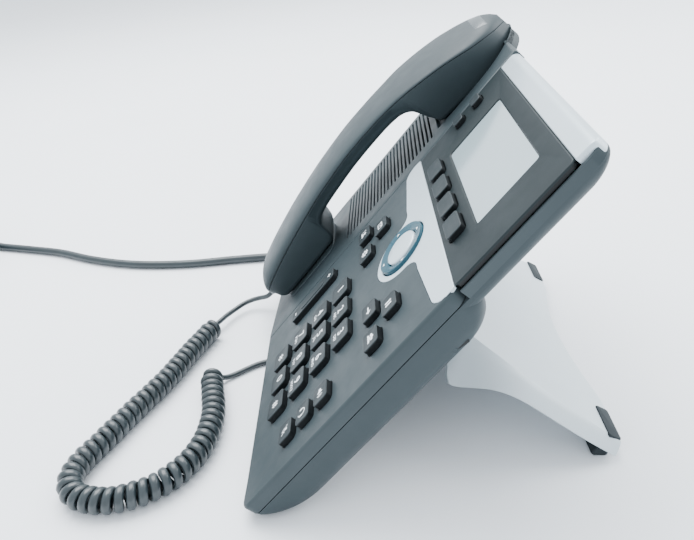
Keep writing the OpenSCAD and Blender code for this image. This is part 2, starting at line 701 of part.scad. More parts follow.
// Tube of n sides along a route
module tube(p, r, n) {
    loft([for (i = [0:len(p) - 1])
        let (
            d = dir_at(p, i),
            side = unit(cross(d, abs(d[2]) > 0.93 ? [1, 0, 0] : [0, 0, 1])),
            up = cross(side, d)
        )
        [for (a = [0:n - 1]) p[i] + r * (cos(360 * a / n) * side + sin(360 * a / n) * up)]]);
}
module handset_cord_coil() {
    color(cord_c) tube(smooth([for (c = CURL) [c[0], c[1], curl_d / 2 + 0.1]], 2), curl_d / 2, 10);
}
module handset_lead() {
    color(cord_c) tube(smooth(HANDSET_LEAD, 2), lead_d / 2, 8);
}
module base_lead() {
    color(cord_c) tube(smooth(BASE_LEAD, 2), lead_d / 2, 8);
}
module base_cord_plug() {
    color([0.78, 0.82, 0.84]) lean() {
        translate([cord_jack_x[0] - 3.7, jack_y - 3.1, -case_d - 4.5]) cube([7.4, 6.2, 12]);
    }
}
// Network plug with a moulded boot, along -z from the origin
module network_plug() {
    translate([-5.8, -4, -9]) cube([11.6, 7.8, 21]);
    translate([0, 0, -19]) cylinder(h = 10.1, r1 = 3.4, r2 = 4.6);
}
module network_plug_base() {
    color([0.70, 0.74, 0.76]) lean() translate([net_jack_x[0], jack_y, -case_d - 3]) network_plug();
}
module network_cord() {
    color(cord_c) {
        tube(smooth(NET_CORD, 2), net_d / 2, 8);
        tube(NET_TAIL, net_d / 2, 8);
    }
}
module network_coil() {
    color(cord_c) translate([coil_c[0], coil_c[1], 1.5 * net_d + 0.1])
        rotate_extrude() translate([coil_r, 0]) circle(1.5 * net_d);
}
module network_plug_free() {
    color([0.70, 0.74, 0.76]) translate([coil_c[0] + 52, coil_c[1] - coil_r - 1, 4.7])
        rotate([0, 90, 0]) rotate([0, 0, 90]) network_plug();
}

front_cover();
rear_cover();
display_bezel();
display_window();
lcd_panel();
top_trim();
wing_trim();
main_board();
key_membrane();
loudspeaker();
jack_block();
foot_stand();
rubber_feet();
cover_screws();
handset_back_shell();
handset_front_shell();
message_lamp_lens();
receiver_capsule();
microphone_capsule();
handset_cord_plug();
hook_plunger();
nav_ring();
select_key();
volume_rocker();
key_on_face(pad_at(0), pad_key);  // key_1
key_on_face(pad_at(1), pad_key);  // key_2
key_on_face(pad_at(2), pad_key);  // key_3
key_on_face(pad_at(3), pad_key);  // key_4
key_on_face(pad_at(4), pad_key);  // key_5
key_on_face(pad_at(5), pad_key);  // key_6
key_on_face(pad_at(6), pad_key);  // key_7
key_on_face(pad_at(7), pad_key);  // key_8
key_on_face(pad_at(8), pad_key);  // key_9
key_on_face(pad_at(9), pad_key);  // key_star
key_on_face(pad_at(10), pad_key);  // key_0
key_on_face(pad_at(11), pad_key);  // key_hash
key_on_face(soft_at(0), soft_key);  // soft_key_1
key_on_face(soft_at(1), soft_key);  // soft_key_2
key_on_face(soft_at(2), soft_key);  // soft_key_3
key_on_face(soft_at(3), soft_key);  // soft_key_4
key_on_face(line_at(0), line_key);  // line_key_1
key_on_face(line_at(1), line_key);  // line_key_2
key_on_face(cluster_at(1, 0), round_key);  // hold_key
key_on_face(cluster_at(1, 1), round_key);  // transfer_key
key_on_face(cluster_at(1, 2), round_key);  // conference_key
key_on_face(cluster_at(-1, 0), round_key);  // voicemail_key
key_on_face(cluster_at(-1, 1), round_key);  // contacts_key
key_on_face(cluster_at(-1, 2), round_key);  // settings_key
key_on_face(side_at(2), side_key);  // speaker_key
key_on_face(side_at(1), side_key);  // headset_key
key_on_face(side_at(0), side_key);  // mute_key
handset_cord_coil();
handset_lead();
base_lead();
base_cord_plug();
network_cord();
network_coil();
network_plug_base();
network_plug_free();
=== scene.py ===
import json
import math

import bpy
import bmesh
import numpy as np
from mathutils import Matrix, Vector
from mathutils.geometry import delaunay_2d_cdt

# A desk phone leaning on its foot stand. Places on the phone are in the face frame, in
# millimetres: x to the phone's right, v up the face and w out of it, with v = 0 at the lower
# edge of the face. Places on the table are in the row frame, in metres.
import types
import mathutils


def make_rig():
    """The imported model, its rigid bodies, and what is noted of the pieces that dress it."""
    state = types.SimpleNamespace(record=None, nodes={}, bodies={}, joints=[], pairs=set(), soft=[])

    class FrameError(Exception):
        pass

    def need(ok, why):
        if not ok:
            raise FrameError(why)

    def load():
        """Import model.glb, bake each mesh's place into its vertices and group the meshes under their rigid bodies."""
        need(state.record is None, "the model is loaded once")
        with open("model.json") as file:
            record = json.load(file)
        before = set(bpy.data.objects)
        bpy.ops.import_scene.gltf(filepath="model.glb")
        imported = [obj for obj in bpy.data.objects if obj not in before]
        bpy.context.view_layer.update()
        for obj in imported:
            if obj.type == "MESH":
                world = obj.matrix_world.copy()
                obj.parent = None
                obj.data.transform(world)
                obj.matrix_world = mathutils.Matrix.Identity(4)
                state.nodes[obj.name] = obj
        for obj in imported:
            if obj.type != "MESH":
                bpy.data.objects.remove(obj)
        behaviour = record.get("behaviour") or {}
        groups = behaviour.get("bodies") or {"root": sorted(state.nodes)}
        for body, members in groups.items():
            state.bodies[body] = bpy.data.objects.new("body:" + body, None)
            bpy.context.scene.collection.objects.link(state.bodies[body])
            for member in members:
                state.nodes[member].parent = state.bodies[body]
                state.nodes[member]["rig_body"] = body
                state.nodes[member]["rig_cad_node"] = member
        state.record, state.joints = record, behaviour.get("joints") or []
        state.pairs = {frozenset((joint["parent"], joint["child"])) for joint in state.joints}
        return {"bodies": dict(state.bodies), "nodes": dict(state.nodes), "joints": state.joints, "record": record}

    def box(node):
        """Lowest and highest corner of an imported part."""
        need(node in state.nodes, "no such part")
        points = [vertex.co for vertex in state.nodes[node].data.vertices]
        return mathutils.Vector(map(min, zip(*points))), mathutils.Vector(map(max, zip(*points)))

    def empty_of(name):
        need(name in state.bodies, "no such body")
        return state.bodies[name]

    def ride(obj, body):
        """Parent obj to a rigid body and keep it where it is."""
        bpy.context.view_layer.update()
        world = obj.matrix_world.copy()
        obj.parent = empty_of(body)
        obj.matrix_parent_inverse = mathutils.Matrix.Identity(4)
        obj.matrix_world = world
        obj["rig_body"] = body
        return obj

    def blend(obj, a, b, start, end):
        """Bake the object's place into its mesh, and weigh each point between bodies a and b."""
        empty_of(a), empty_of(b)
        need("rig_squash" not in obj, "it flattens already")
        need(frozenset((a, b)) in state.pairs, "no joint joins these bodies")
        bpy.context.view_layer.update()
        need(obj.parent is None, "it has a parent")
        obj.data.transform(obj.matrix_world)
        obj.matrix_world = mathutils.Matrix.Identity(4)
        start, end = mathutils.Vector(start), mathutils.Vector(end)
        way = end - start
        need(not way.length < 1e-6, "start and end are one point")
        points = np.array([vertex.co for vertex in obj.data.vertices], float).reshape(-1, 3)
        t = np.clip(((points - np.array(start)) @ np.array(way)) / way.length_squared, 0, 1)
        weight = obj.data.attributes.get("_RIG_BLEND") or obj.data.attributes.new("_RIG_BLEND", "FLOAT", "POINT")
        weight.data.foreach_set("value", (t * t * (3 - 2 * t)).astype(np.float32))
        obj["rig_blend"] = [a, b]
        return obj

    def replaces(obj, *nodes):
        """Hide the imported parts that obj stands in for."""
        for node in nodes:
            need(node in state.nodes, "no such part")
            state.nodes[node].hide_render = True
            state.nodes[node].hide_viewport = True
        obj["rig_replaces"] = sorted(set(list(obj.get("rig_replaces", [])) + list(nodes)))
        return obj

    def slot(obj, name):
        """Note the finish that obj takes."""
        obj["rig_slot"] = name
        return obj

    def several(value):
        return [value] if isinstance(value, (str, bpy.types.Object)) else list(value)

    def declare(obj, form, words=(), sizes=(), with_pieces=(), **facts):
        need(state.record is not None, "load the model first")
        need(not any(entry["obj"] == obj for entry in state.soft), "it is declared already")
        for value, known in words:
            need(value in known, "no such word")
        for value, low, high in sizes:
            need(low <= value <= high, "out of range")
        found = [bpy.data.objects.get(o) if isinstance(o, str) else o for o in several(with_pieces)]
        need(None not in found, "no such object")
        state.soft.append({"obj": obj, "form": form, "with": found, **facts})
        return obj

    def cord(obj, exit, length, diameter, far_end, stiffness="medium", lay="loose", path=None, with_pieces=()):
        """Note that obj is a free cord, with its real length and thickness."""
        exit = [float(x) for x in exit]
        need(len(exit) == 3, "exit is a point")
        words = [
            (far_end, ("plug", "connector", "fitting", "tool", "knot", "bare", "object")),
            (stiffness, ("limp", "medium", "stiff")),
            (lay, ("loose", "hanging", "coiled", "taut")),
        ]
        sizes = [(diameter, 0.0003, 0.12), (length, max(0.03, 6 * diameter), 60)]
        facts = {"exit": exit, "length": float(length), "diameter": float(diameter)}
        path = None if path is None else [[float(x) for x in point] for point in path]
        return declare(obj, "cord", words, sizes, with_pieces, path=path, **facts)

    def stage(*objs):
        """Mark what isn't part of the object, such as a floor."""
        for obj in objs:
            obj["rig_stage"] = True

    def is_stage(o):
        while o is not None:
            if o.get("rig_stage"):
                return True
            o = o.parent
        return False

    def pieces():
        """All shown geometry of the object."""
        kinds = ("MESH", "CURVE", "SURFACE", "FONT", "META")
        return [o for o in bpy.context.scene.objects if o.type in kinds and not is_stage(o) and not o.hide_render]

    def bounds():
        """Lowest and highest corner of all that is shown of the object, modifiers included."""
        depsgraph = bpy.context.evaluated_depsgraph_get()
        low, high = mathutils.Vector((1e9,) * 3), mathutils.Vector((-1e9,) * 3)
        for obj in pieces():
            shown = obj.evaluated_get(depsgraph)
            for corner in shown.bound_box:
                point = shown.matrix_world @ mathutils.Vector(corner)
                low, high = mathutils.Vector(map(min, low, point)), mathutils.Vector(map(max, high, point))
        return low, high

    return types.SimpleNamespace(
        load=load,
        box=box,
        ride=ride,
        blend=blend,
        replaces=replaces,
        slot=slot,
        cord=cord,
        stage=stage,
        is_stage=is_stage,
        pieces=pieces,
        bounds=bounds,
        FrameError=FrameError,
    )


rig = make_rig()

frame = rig.load()
cad_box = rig.bounds()

MM = 0.001
TAU = 2 * math.pi
NODES = frame["nodes"]
JOINTS = {j["name"]: j for j in frame["joints"]}

# ---------------------------------------------------------------- the phone's own sizes, mm
SEAM = 6.5                       # depth of the front cover's side wall
HALF_W = 103.0                   # half the width of the face
FACE_H = 205.0
PANEL_H = 136.2                  # height of the key panel, up to the display
PANEL_X = 38.0                   # middle of the key panel
CREASE_X = -28.0                 # the handset's side slopes away from here
SIDE_DROP = 4.5                  # how far its outer edge has dropped
SPLIT_X = -24.0                  # between the handset's side and the display
BEZEL = (-22.7, 101.8, 136.4, 194.6)        # left, right, bottom and top
BEZEL_TOP = 0.4                  # how far the bezel is proud of the face
WINDOW_C = (42.3, 169.8)         # middle of the window
WINDOW = (74.0, 32.6)            # its width and height
CASE_D = 24.5                    # depth of the rear cover
KEY_GAP = 0.35                   # between a key's flange and the edge of its hole
KEY_RISE = 2.8
NAV = (38.0, 114.6)              # middle of the navigation ring
RING_R = 13.7
RING_BORE = 9.3
HANDSET_X = -67.0                # the handset's middle line
EAR_V = 183.0                    # middle of its ear end
EAR_R = 27.0
ROCKER = (-8.4, 48.0, 9.0, 37.0)            # middle, width and height
STAND_LEAN = math.radians(8.6)   # from square to the face
STAND_ROOT_V = 97.0
STAND_T = 2.4

# The cords' diameters, in metres
LEAD_D = 0.0030
CURL_D = 0.0124
NET_D = 0.0056

# The face's own directions: its normal is the way the handset lifts
NORMAL = Vector(JOINTS["handset_lift"]["axis"]).normalized()
RIGHT = Vector((1, 0, 0))
UP = NORMAL.cross(RIGHT)
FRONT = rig.box("front_cover")[0]
ORIGIN = Vector((0, FRONT.y, FRONT.z + SEAM * MM * NORMAL.z))


def on_face(x, v, w=0.0):
    """A place in the face frame, in mm, as a place in the row frame, in metres."""
    return ORIGIN + (RIGHT * x + UP * v + NORMAL * w) * MM


def new_object(name, data):
    """A new object in the scene."""
    made = bpy.data.objects.new(name, data)
    bpy.context.scene.collection.objects.link(made)
    return made


# ---------------------------------------------------------------- camera
CAMERA_AT = Vector((0.3187, -0.0142, 0.2360))
LOOK = Vector((-0.87588, -0.04513, -0.48042))
CAMERA_RIGHT = Vector((0.00471, 0.99477, -0.10203))
LENS = 37.29


def make_camera():
    data = bpy.data.cameras.new("camera")
    data.lens = LENS
    data.sensor_width = 36
    camera = new_object("camera", data)
    back = -LOOK.normalized()
    side = (CAMERA_RIGHT - CAMERA_RIGHT.dot(back) * back).normalized()
    turn = Matrix((side, back.cross(side), back)).transposed()
    camera.matrix_world = Matrix.Translation(CAMERA_AT) @ turn.to_4x4()
    bpy.context.scene.camera = camera


make_camera()


# ---------------------------------------------------------------- materials
def material(name, colour, rough=0.5, metallic=0.0, grain=(900, 0.12), mottle=(35, 0.06),
             rough_spread=0.08, coat=0.0, edge_wear_and_highlight=0.0, transmission=0.0, shine=0.5):
    """Moulded plastic, rubber or painted metal: fine grain in the bump, a faint mottle in the
    colour, uneven gloss, and paler edges, partly edge wear and partly a painted highlight."""
    m = bpy.data.materials.new(name)
    m.use_nodes = True
    tree = m.node_tree
    shader = tree.nodes["Principled BSDF"]
    for socket, value in (("Metallic", metallic), ("Coat Weight", coat),
                          ("Coat Roughness", 0.12), ("Specular IOR Level", shine),
                          ("Transmission Weight", transmission)):
        shader.inputs[socket].default_value = value
    place = tree.nodes.new("ShaderNodeTexCoord")

    def node(kind, source, source_input, output, **values):
        n = tree.nodes.new(kind)
        for socket, value in values.items():
            n.inputs[socket.replace("_", " ")].default_value = value
        tree.links.new(source, n.inputs[source_input])
        return n.outputs[output]

    def noise(scale, detail):
        return node("ShaderNodeTexNoise", place.outputs["Object"], "Vector", "Fac",
                    Scale=scale, Detail=detail)

    def spread(value, low, high, start=0.3, end=0.7):
        return node("ShaderNodeMapRange", value, "Value", "Result", From_Min=start,
                    From_Max=end, To_Min=low, To_Max=high)

    def mix(factor, a, b):
        n = tree.nodes.new("ShaderNodeMix")
        n.data_type = "RGBA"
        for socket, value in ((n.inputs[6], a), (n.inputs[7], b)):
            if hasattr(value, "links"):
                tree.links.new(value, socket)
            else:
                socket.default_value = (*value, 1)
        tree.links.new(factor, n.inputs[0])
        return n.outputs[2]

    dark = [c * (1 - mottle[1]) for c in colour]
    light = [min(1, c * (1 + mottle[1])) for c in colour]
    tint = mix(spread(noise(mottle[0], 4), 0, 1), dark, light)
    # Paler edges by pointiness: edge wear, and where strong, as on the keys, a painted highlight.
    if edge_wear_and_highlight:
        edge = tree.nodes.new("ShaderNodeNewGeometry")
        worn_and_lit_colour = [min(1, c * 1.5 + 0.03) for c in colour]
        worn_and_lit_edges = spread(edge.outputs["Pointiness"], 0, edge_wear_and_highlight, 0.52, 0.62)
        tint = mix(worn_and_lit_edges, tint, worn_and_lit_colour)
    tree.links.new(tint, shader.inputs["Base Color"])
    tree.links.new(spread(noise(mottle[0] * 3, 5), rough - rough_spread, rough + rough_spread),
                   shader.inputs["Roughness"])
    bump = node("ShaderNodeBump", noise(grain[0], 3), "Height", "Normal", Strength=grain[1],
                Distance=0.0002)
    tree.links.new(bump, shader.inputs["Normal"])
    return m


SHELL = material("shell_plastic", (0.029, 0.041, 0.046), 0.48, grain=(1500, 0.12), edge_wear_and_highlight=0.3,
                 shine=0.22, rough_spread=0.05)
BEZEL_M = material("bezel_plastic", (0.011, 0.017, 0.019), 0.44, grain=(1700, 0.08), edge_wear_and_highlight=0.3,
                   shine=0.15, rough_spread=0.05)
BLACK = material("black_plastic", (0.004, 0.0055, 0.0065), 0.4, grain=(1200, 0.10), edge_wear_and_highlight=0.2,
                 shine=0.25)
# The strong edge paleness on the key tops is a painted highlight along the keys' edges.
KEY_TOP = material("key_paint", (0.015, 0.022, 0.025), 0.45, grain=(1900, 0.10), edge_wear_and_highlight=0.9,
                   shine=0.2)
LEGEND = material("legend_paint", (0.86, 0.90, 0.92), 0.45, grain=(2500, 0.08))
SILVER = material("silver_paint", (0.55, 0.635, 0.68), 0.34, metallic=0.2, coat=0.25,
                  grain=(2600, 0.03), mottle=(60, 0.015), rough_spread=0.025)
STAND_M = material("stand_plastic", (0.56, 0.625, 0.66), 0.38, metallic=0.1, coat=0.1,
                   grain=(2200, 0.05), mottle=(45, 0.02), rough_spread=0.04)
RING_M = material("ring_plastic", (0.012, 0.066, 0.095), 0.30, coat=0.1, grain=(2000, 0.04),
                  shine=0.3)
GLASS = material("window_plastic", (0.33, 0.415, 0.445), 0.10, coat=1.0, grain=(300, 0.01),
                 mottle=(14, 0.03), rough_spread=0.02)
LCD = material("lcd", (0.46, 0.56, 0.58), 0.3, grain=(2400, 0.05))
RUBBER = material("foot_rubber", (0.020, 0.026, 0.030), 0.72, grain=(1400, 0.3), shine=0.25)
JACK = material("jack_plastic", (0.020, 0.022, 0.025), 0.5, grain=(1300, 0.2))
BOARD = material("circuit_board", (0.015, 0.11, 0.055), 0.32, coat=0.4, mottle=(260, 0.35))
SILICONE = material("silicone", (0.50, 0.52, 0.50), 0.55, grain=(1200, 0.2))
SPEAKER = material("speaker_paper", (0.040, 0.040, 0.044), 0.7, grain=(1800, 0.4))
STEEL = material("screw_steel", (0.45, 0.45, 0.47), 0.28, metallic=1.0, grain=(2400, 0.1))
LENS_M = material("lamp_lens", (0.050, 0.064, 0.070), 0.3, coat=0.1, grain=(900, 0.04),
                  shine=0.3)
PLUG = material("plug_plastic", (0.66, 0.71, 0.74), 0.12, coat=0.4, transmission=0.55,
                grain=(600, 0.04))
GOLD = material("contact_gold", (0.80, 0.56, 0.20), 0.22, metallic=1.0, grain=(2400, 0.1))
CURL_M = material("handset_cord_jacket", (0.016, 0.025, 0.029), 0.36, coat=0.25,
                  grain=(1500, 0.10), mottle=(90, 0.12))
NET_M = material("network_cord_jacket", (0.010, 0.018, 0.022), 0.42, coat=0.15,
                 grain=(1700, 0.14), mottle=(70, 0.12))


# ---------------------------------------------------------------- mesh tools
def add_piece(name, verts, faces, face_material, materials, body, slot, replaced, place, sharp):
    """A piece from points in the face frame, with smooth faces and sharp edges by angle."""
    mesh = bpy.data.meshes.new(name)
    mesh.from_pydata([place(*p) for p in verts], [], [tuple(f) for f in faces])
    for m in materials:
        mesh.materials.append(m)
    mesh.polygons.foreach_set("material_index", face_material)
    clean(mesh, sharp, least=1e-7)
    register(new_object(name, mesh), body, slot, replaced)


def clean(mesh, sharp=None, least=None, turn=True):
    """Joins points that meet and drops edges shorter than least, turns the faces outwards, and
    makes them smooth but for the edges of sharp degrees and more."""
    bm = bmesh.new()
    bm.from_mesh(mesh)
    if least:
        bmesh.ops.remove_doubles(bm, verts=bm.verts, dist=2e-6)
        bmesh.ops.dissolve_degenerate(bm, dist=least, edges=bm.edges)
    if turn:
        bmesh.ops.recalc_face_normals(bm, faces=bm.faces)
    if sharp:
        limit = math.radians(sharp)
        for f in bm.faces:
            f.smooth = True
        for e in bm.edges:
            e.smooth = len(e.link_faces) == 2 and e.calc_face_angle(0) < limit
    bm.to_mesh(mesh)
    bm.free()


def register(piece, body, slot, replaced=()):
    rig.ride(piece, body)
    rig.slot(piece, slot)
    if replaced:
        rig.replaces(piece, *replaced)


def rounded_rect(cx, cv, w, h, r, steps=6):
    """Counter-clockwise outline."""
    points = []
    for sx, sy, start in ((1, -1, -90), (1, 1, 0), (-1, 1, 90), (-1, -1, 180)):
        for i in range(steps + 1):
            a = math.radians(start + 90 * i / steps)
            points.append((cx + sx * (w / 2 - r) + r * math.cos(a),
                           cv + sy * (h / 2 - r) + r * math.sin(a)))
    return points


def circle(cx, cv, r, steps=48):
    return [(cx + r * math.cos(TAU * i / steps), cv + r * math.sin(TAU * i / steps))
            for i in range(steps)]


def level(loop, w):
    return [(x, v, w) for x, v in loop]


def cross_pin(x0, x1, v, w, r):
    """The two ends of a round pin that lies across the phone."""
    return [[(x, v + r * math.cos(a), w + r * math.sin(a))
             for a in np.linspace(0, TAU, 20, endpoint=False)] for x in (x0, x1)]


def offset(loop, d):
    """The outline moved inwards by d; a negative d moves it outwards."""
    n = len(loop)
    moved = []
    for i in range(n):
        a, b, c = (np.array(loop[(i + k) % n], float) for k in (-1, 0, 1))
        e, f = b - a, c - b
        e /= max(np.linalg.norm(e), 1e-9)
        f /= max(np.linalg.norm(f), 1e-9)
        ne, nf = np.array((-e[1], e[0])), np.array((-f[1], f[0]))
        m = ne + nf
        m /= max(np.linalg.norm(m), 1e-9)
        moved.append(tuple(b + m * d / max(m.dot(ne), 0.5)))
    return moved


class Builder:
    """Collects the faces of one piece."""

    def __init__(self):
        self.verts, self.faces, self.kinds = [], [], []

    def add(self, points):
        start = len(self.verts)
        self.verts += [tuple(p) for p in points]
        return list(range(start, start + len(points)))

    def face(self, ids, kind=0):
        self.faces.append(list(ids))
        self.kinds.append(kind)

    def strip(self, a, b, closed=True, kind=0):
        n = len(a)
        for i in range(n if closed else n - 1):
            j = (i + 1) % n
            self.face((a[i], a[j], b[j], b[i]), kind)

    def rings(self, rings, closed=True, kind=0, cap_first=False, cap_last=False):
        ids = [self.add(r) for r in rings]
        for a, b in zip(ids, ids[1:]):
            self.strip(a, b, closed, kind)
        if cap_first:
            self.face(ids[0][::-1], kind)
        if cap_last:
            self.face(ids[-1], kind)
        return ids

    def walls(self, loop, rows, **how):
        """Rings of one outline, moved inwards by d at the height w: (d, w) each."""
        self.rings([level(offset(loop, d), w) for d, w in rows], **how)

    def turned(self, cx, cv, rows, steps, **how):
        """Rings about one axis: (radius, w) each."""
        self.rings([level(circle(cx, cv, r, steps), w) for r, w in rows], **how)

    def fillet(self, loop, r, top, bottom, hole=False, kind=0, steps=4):
        """A rounded edge and its wall, with a narrow flat rim. Returns the rim's outline."""
        sign = -1 if hole else 1
        rings = []
        for i in range(steps + 1):
            a = math.pi / 2 * i / steps
            rings.append(level(offset(loop, sign * r * (1 - math.sin(a))),
                               top - r * (1 - math.cos(a))))
        flat = offset(loop, sign * (r + 0.15))
        self.rings([level(flat, top), *rings, level(loop, bottom)], kind=kind)
        return flat

    def fill(self, outer, holes, w, extra=(), cut=(), kind=0):
        """A flat face inside outer and outside holes. extra is lines that get edges of their
        own, and cut more outlines that are left open."""
        points, edges = [], []
        for loop in [outer, *holes, *cut]:
            start = len(points)
            points += loop
            edges += [(start + i, start + (i + 1) % len(loop)) for i in range(len(loop))]
        for line in extra:
            start = len(points)
            points += line
            edges += [(start + i, start + i + 1) for i in range(len(line) - 1)]
        out = delaunay_2d_cdt([Vector(p) for p in points], edges, [], 0, 1e-6)
        flat, triangles = out[0], out[2]
        ids = self.add([(p.x, p.y, w) for p in flat])
        for t in triangles:
            c = sum((flat[i] for i in t), Vector((0, 0))) / len(t)
            if inside(c, outer) and not any(inside(c, h) for h in [*holes, *cut]):
                self.face([ids[i] for i in t], kind)

    def shape(self, change):
        self.verts = [change(*p) for p in self.verts]

    def piece(self, name, materials, body, slot, replaced=(), place=on_face, sharp=38.0):
        add_piece(name, self.verts, self.faces, self.kinds, materials, body, slot, replaced,
                  place, sharp)


def inside(p, loop):
    x, y = p[0], p[1]
    hit = False
    j = len(loop) - 1
    for i in range(len(loop)):
        (xi, yi), (xj, yj) = loop[i], loop[j]
        if (yi > y) != (yj > y) and x < (xj - xi) * (y - yi) / (yj - yi) + xi:
            hit = not hit
        j = i
    return hit


def catmull(points, steps):
    """A smooth line through points."""
    p = [np.array(q, float) for q in points]
    p = [2 * p[0] - p[1], *p, 2 * p[-1] - p[-2]]
    out = []
    for i in range(1, len(p) - 2):
        for k in range(steps):
            t = k / steps
            out.append(0.5 * (2 * p[i] + (p[i + 1] - p[i - 1]) * t
                              + (2 * p[i - 1] - 5 * p[i] + 4 * p[i + 1] - p[i + 2]) * t ** 2
                              + (3 * p[i] - p[i - 1] - 3 * p[i + 1] + p[i + 2]) * t ** 3))
    out.append(p[-2])
    return out


# ---------------------------------------------------------------- cords
# The routes are the CAD model's, in millimetres in the row frame.
CURL = [(-45, -116.1), (-20, -126.1), (5, -135.1), (30, -147.1), (50, -156.1), (65, -163.1),
        (76, -164.1), (85, -159.1), (89, -150.1), (90, -141.1), (88, -132.1), (84, -123.1),
        (76, -114.1), (64, -107.1), (50, -104.1), (35, -104.1), (19, -107.1), (4, -110.1)]
HANDSET_LEAD = [(-67, -81.9, 13.8), (-68, -85.8, 10.5), (-71, -90.8, 8), (-71.5, -95.8, 6.8),
                (-69, -101.8, 5.8), (-62, -107.8, 5.4), (-56, -111.3, 5.8), (-50.5, -113.9, 6)]
BASE_LEAD = [(4.5, -106.9, 5), (2.2, -103.3, 2.6), (-1.2, -98.3, 1.8), (-5, -92.6, 1.8),
             (-8.6, -86.6, 1.8), (-10.6, -79.9, 1.8), (-11, -71.9, 1.8), (-10, -57.9, 1.8),
             (-6, -43.9, 1.8), (2, -31.9, 1.8), (11, -20.9, 2.2), (16, -11.9, 4.4),
             (18, -6.5, 9.6), (18, -7.3, 16.4), (18, -11.9, 22.6), (18, -15.9, 26.9),
             (18, -19.5, 30.4)]
NET_CORD = [(-14, -6.7, 18.6), (-14, -1.3, 13.4), (-15.5, 6.4, 8), (-21, 15.4, 4.2),
            (-32, 21.4, 3), (-45, 21.4, 3), (-60, 15.4, 3), (-75, 6.4, 3), (-90, -6.6, 3),
            (-106, -22.6, 3), (-124, -48.1, 3), (-135, -83.1, 3), (-137, -118.1, 3),
            (-137, -148.1, 3), (-141, -178.1, 3), (-148, -203.1, 3), (-160, -230.1, 3),
            (-176, -258.1, 3), (-188, -288.1, 3), (-197, -312.1, 3)]
NET_TAIL = [(-168, -387.7, 4.8), (-157, -388.1, 4.7), (-146, -388.1, 4.7)]
COIL_C = (-179, -356.1)
COIL_R = 31.0
COIL_TURNS = 7
CURL_TURNS = 54
FIXED_TURNS = 36                 # the turns that stay on the table when the handset lifts
TURN_POINTS = 18
WIRE_W = 4.3                     # the curly cord's wire is wider along the coil


def sweep(name, path, section, body, slot, surface, replaced, sides=12, blend=None):
    """A mesh tube along a path. section(i) is (direction of the wide axis, its half width,
    half thickness) at a point, in metres."""
    path = [Vector(p) for p in path]
    verts, faces = [], []
    last = None
    for i, p in enumerate(path):
        ahead = (path[min(i + 1, len(path) - 1)] - path[max(i - 1, 0)]).normalized()
        wide, a, b = section(i)
        if wide is None:
            wide = last if last is not None else ahead.orthogonal()
        wide = (wide - wide.dot(ahead) * ahead).normalized()
        last = wide
        thin = ahead.cross(wide)
        for k in range(sides):
            angle = TAU * k / sides
            verts.append(p + wide * a * math.cos(angle) + thin * b * math.sin(angle))
    for i in range(len(path) - 1):
        for k in range(sides):
            m = (k + 1) % sides
            faces.append((i * sides + k, i * sides + m, (i + 1) * sides + m, (i + 1) * sides + k))
    faces.append(tuple(range(sides))[::-1])
    faces.append(tuple(range(len(verts) - sides, len(verts))))
    mesh = bpy.data.meshes.new(name)
    mesh.from_pydata(verts, [], faces)
    mesh.materials.append(surface)
    clean(mesh, 60)
    piece = new_object(name, mesh)
    if blend:
        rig.blend(piece, *blend)
    else:
        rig.ride(piece, body)
    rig.slot(piece, slot)
    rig.replaces(piece, *replaced)
    return piece


def without_repeats(path, least=0.0004):
    """The path in metres without points that nearly repeat the one before."""
    kept = [path[0]]
    for p in path[1:-1]:
        if (p - kept[-1]).length > least and (path[-1] - p).length > least:
            kept.append(p)
    return kept + [path[-1]]


def length_of(path):
    return sum((b - a).length for a, b in zip(path, path[1:]))


def spaced(points, count):
    """The same line with count points at equal distances."""
    points = [np.array(p, float) for p in points]
    run = np.concatenate([[0], np.cumsum([np.linalg.norm(b - a)
                                          for a, b in zip(points, points[1:])])])
    at = np.linspace(0, run[-1], count)
    return np.stack([np.interp(at, run, [p[k] for p in points]) for k in range(3)], 1)


def smoothstep(t):
    t = min(max(t, 0.0), 1.0)
    return t * t * (3 - 2 * t)


def curly_wire():
    """The whole wire of the curly part, from the base's end to the handset's: its points and
    the direction along the coil at each, in mm."""
    height = CURL_D / MM / 2 + 0.1
    centre = spaced(catmull([(x, y, height) for x, y in CURL[::-1]], 8),
                    CURL_TURNS * TURN_POINTS + 1)
    radius = CURL_D / MM / 2 - LEAD_D / MM / 2
    points, along = [], []
    last = len(centre) - 1
    for i, c in enumerate(centre):
        d = centre[min(i + 1, last)] - centre[max(i - 1, 0)]
        d = Vector(d).normalized()
        side = d.cross(Vector((0, 0, 1))).normalized()
        turn = i / TURN_POINTS
        r = radius * smoothstep(0.25 + turn / 0.8) * smoothstep(0.25 + (CURL_TURNS - turn) / 0.8)
        r *= 1 + 0.012 * math.sin(turn * 1.7)
        angle = TAU * turn - math.pi / 2
        points.append(Vector(c) + (side * math.cos(angle) + Vector((0, 0, 1)) * math.sin(angle)) * r)
        along.append(d)
    return points, along


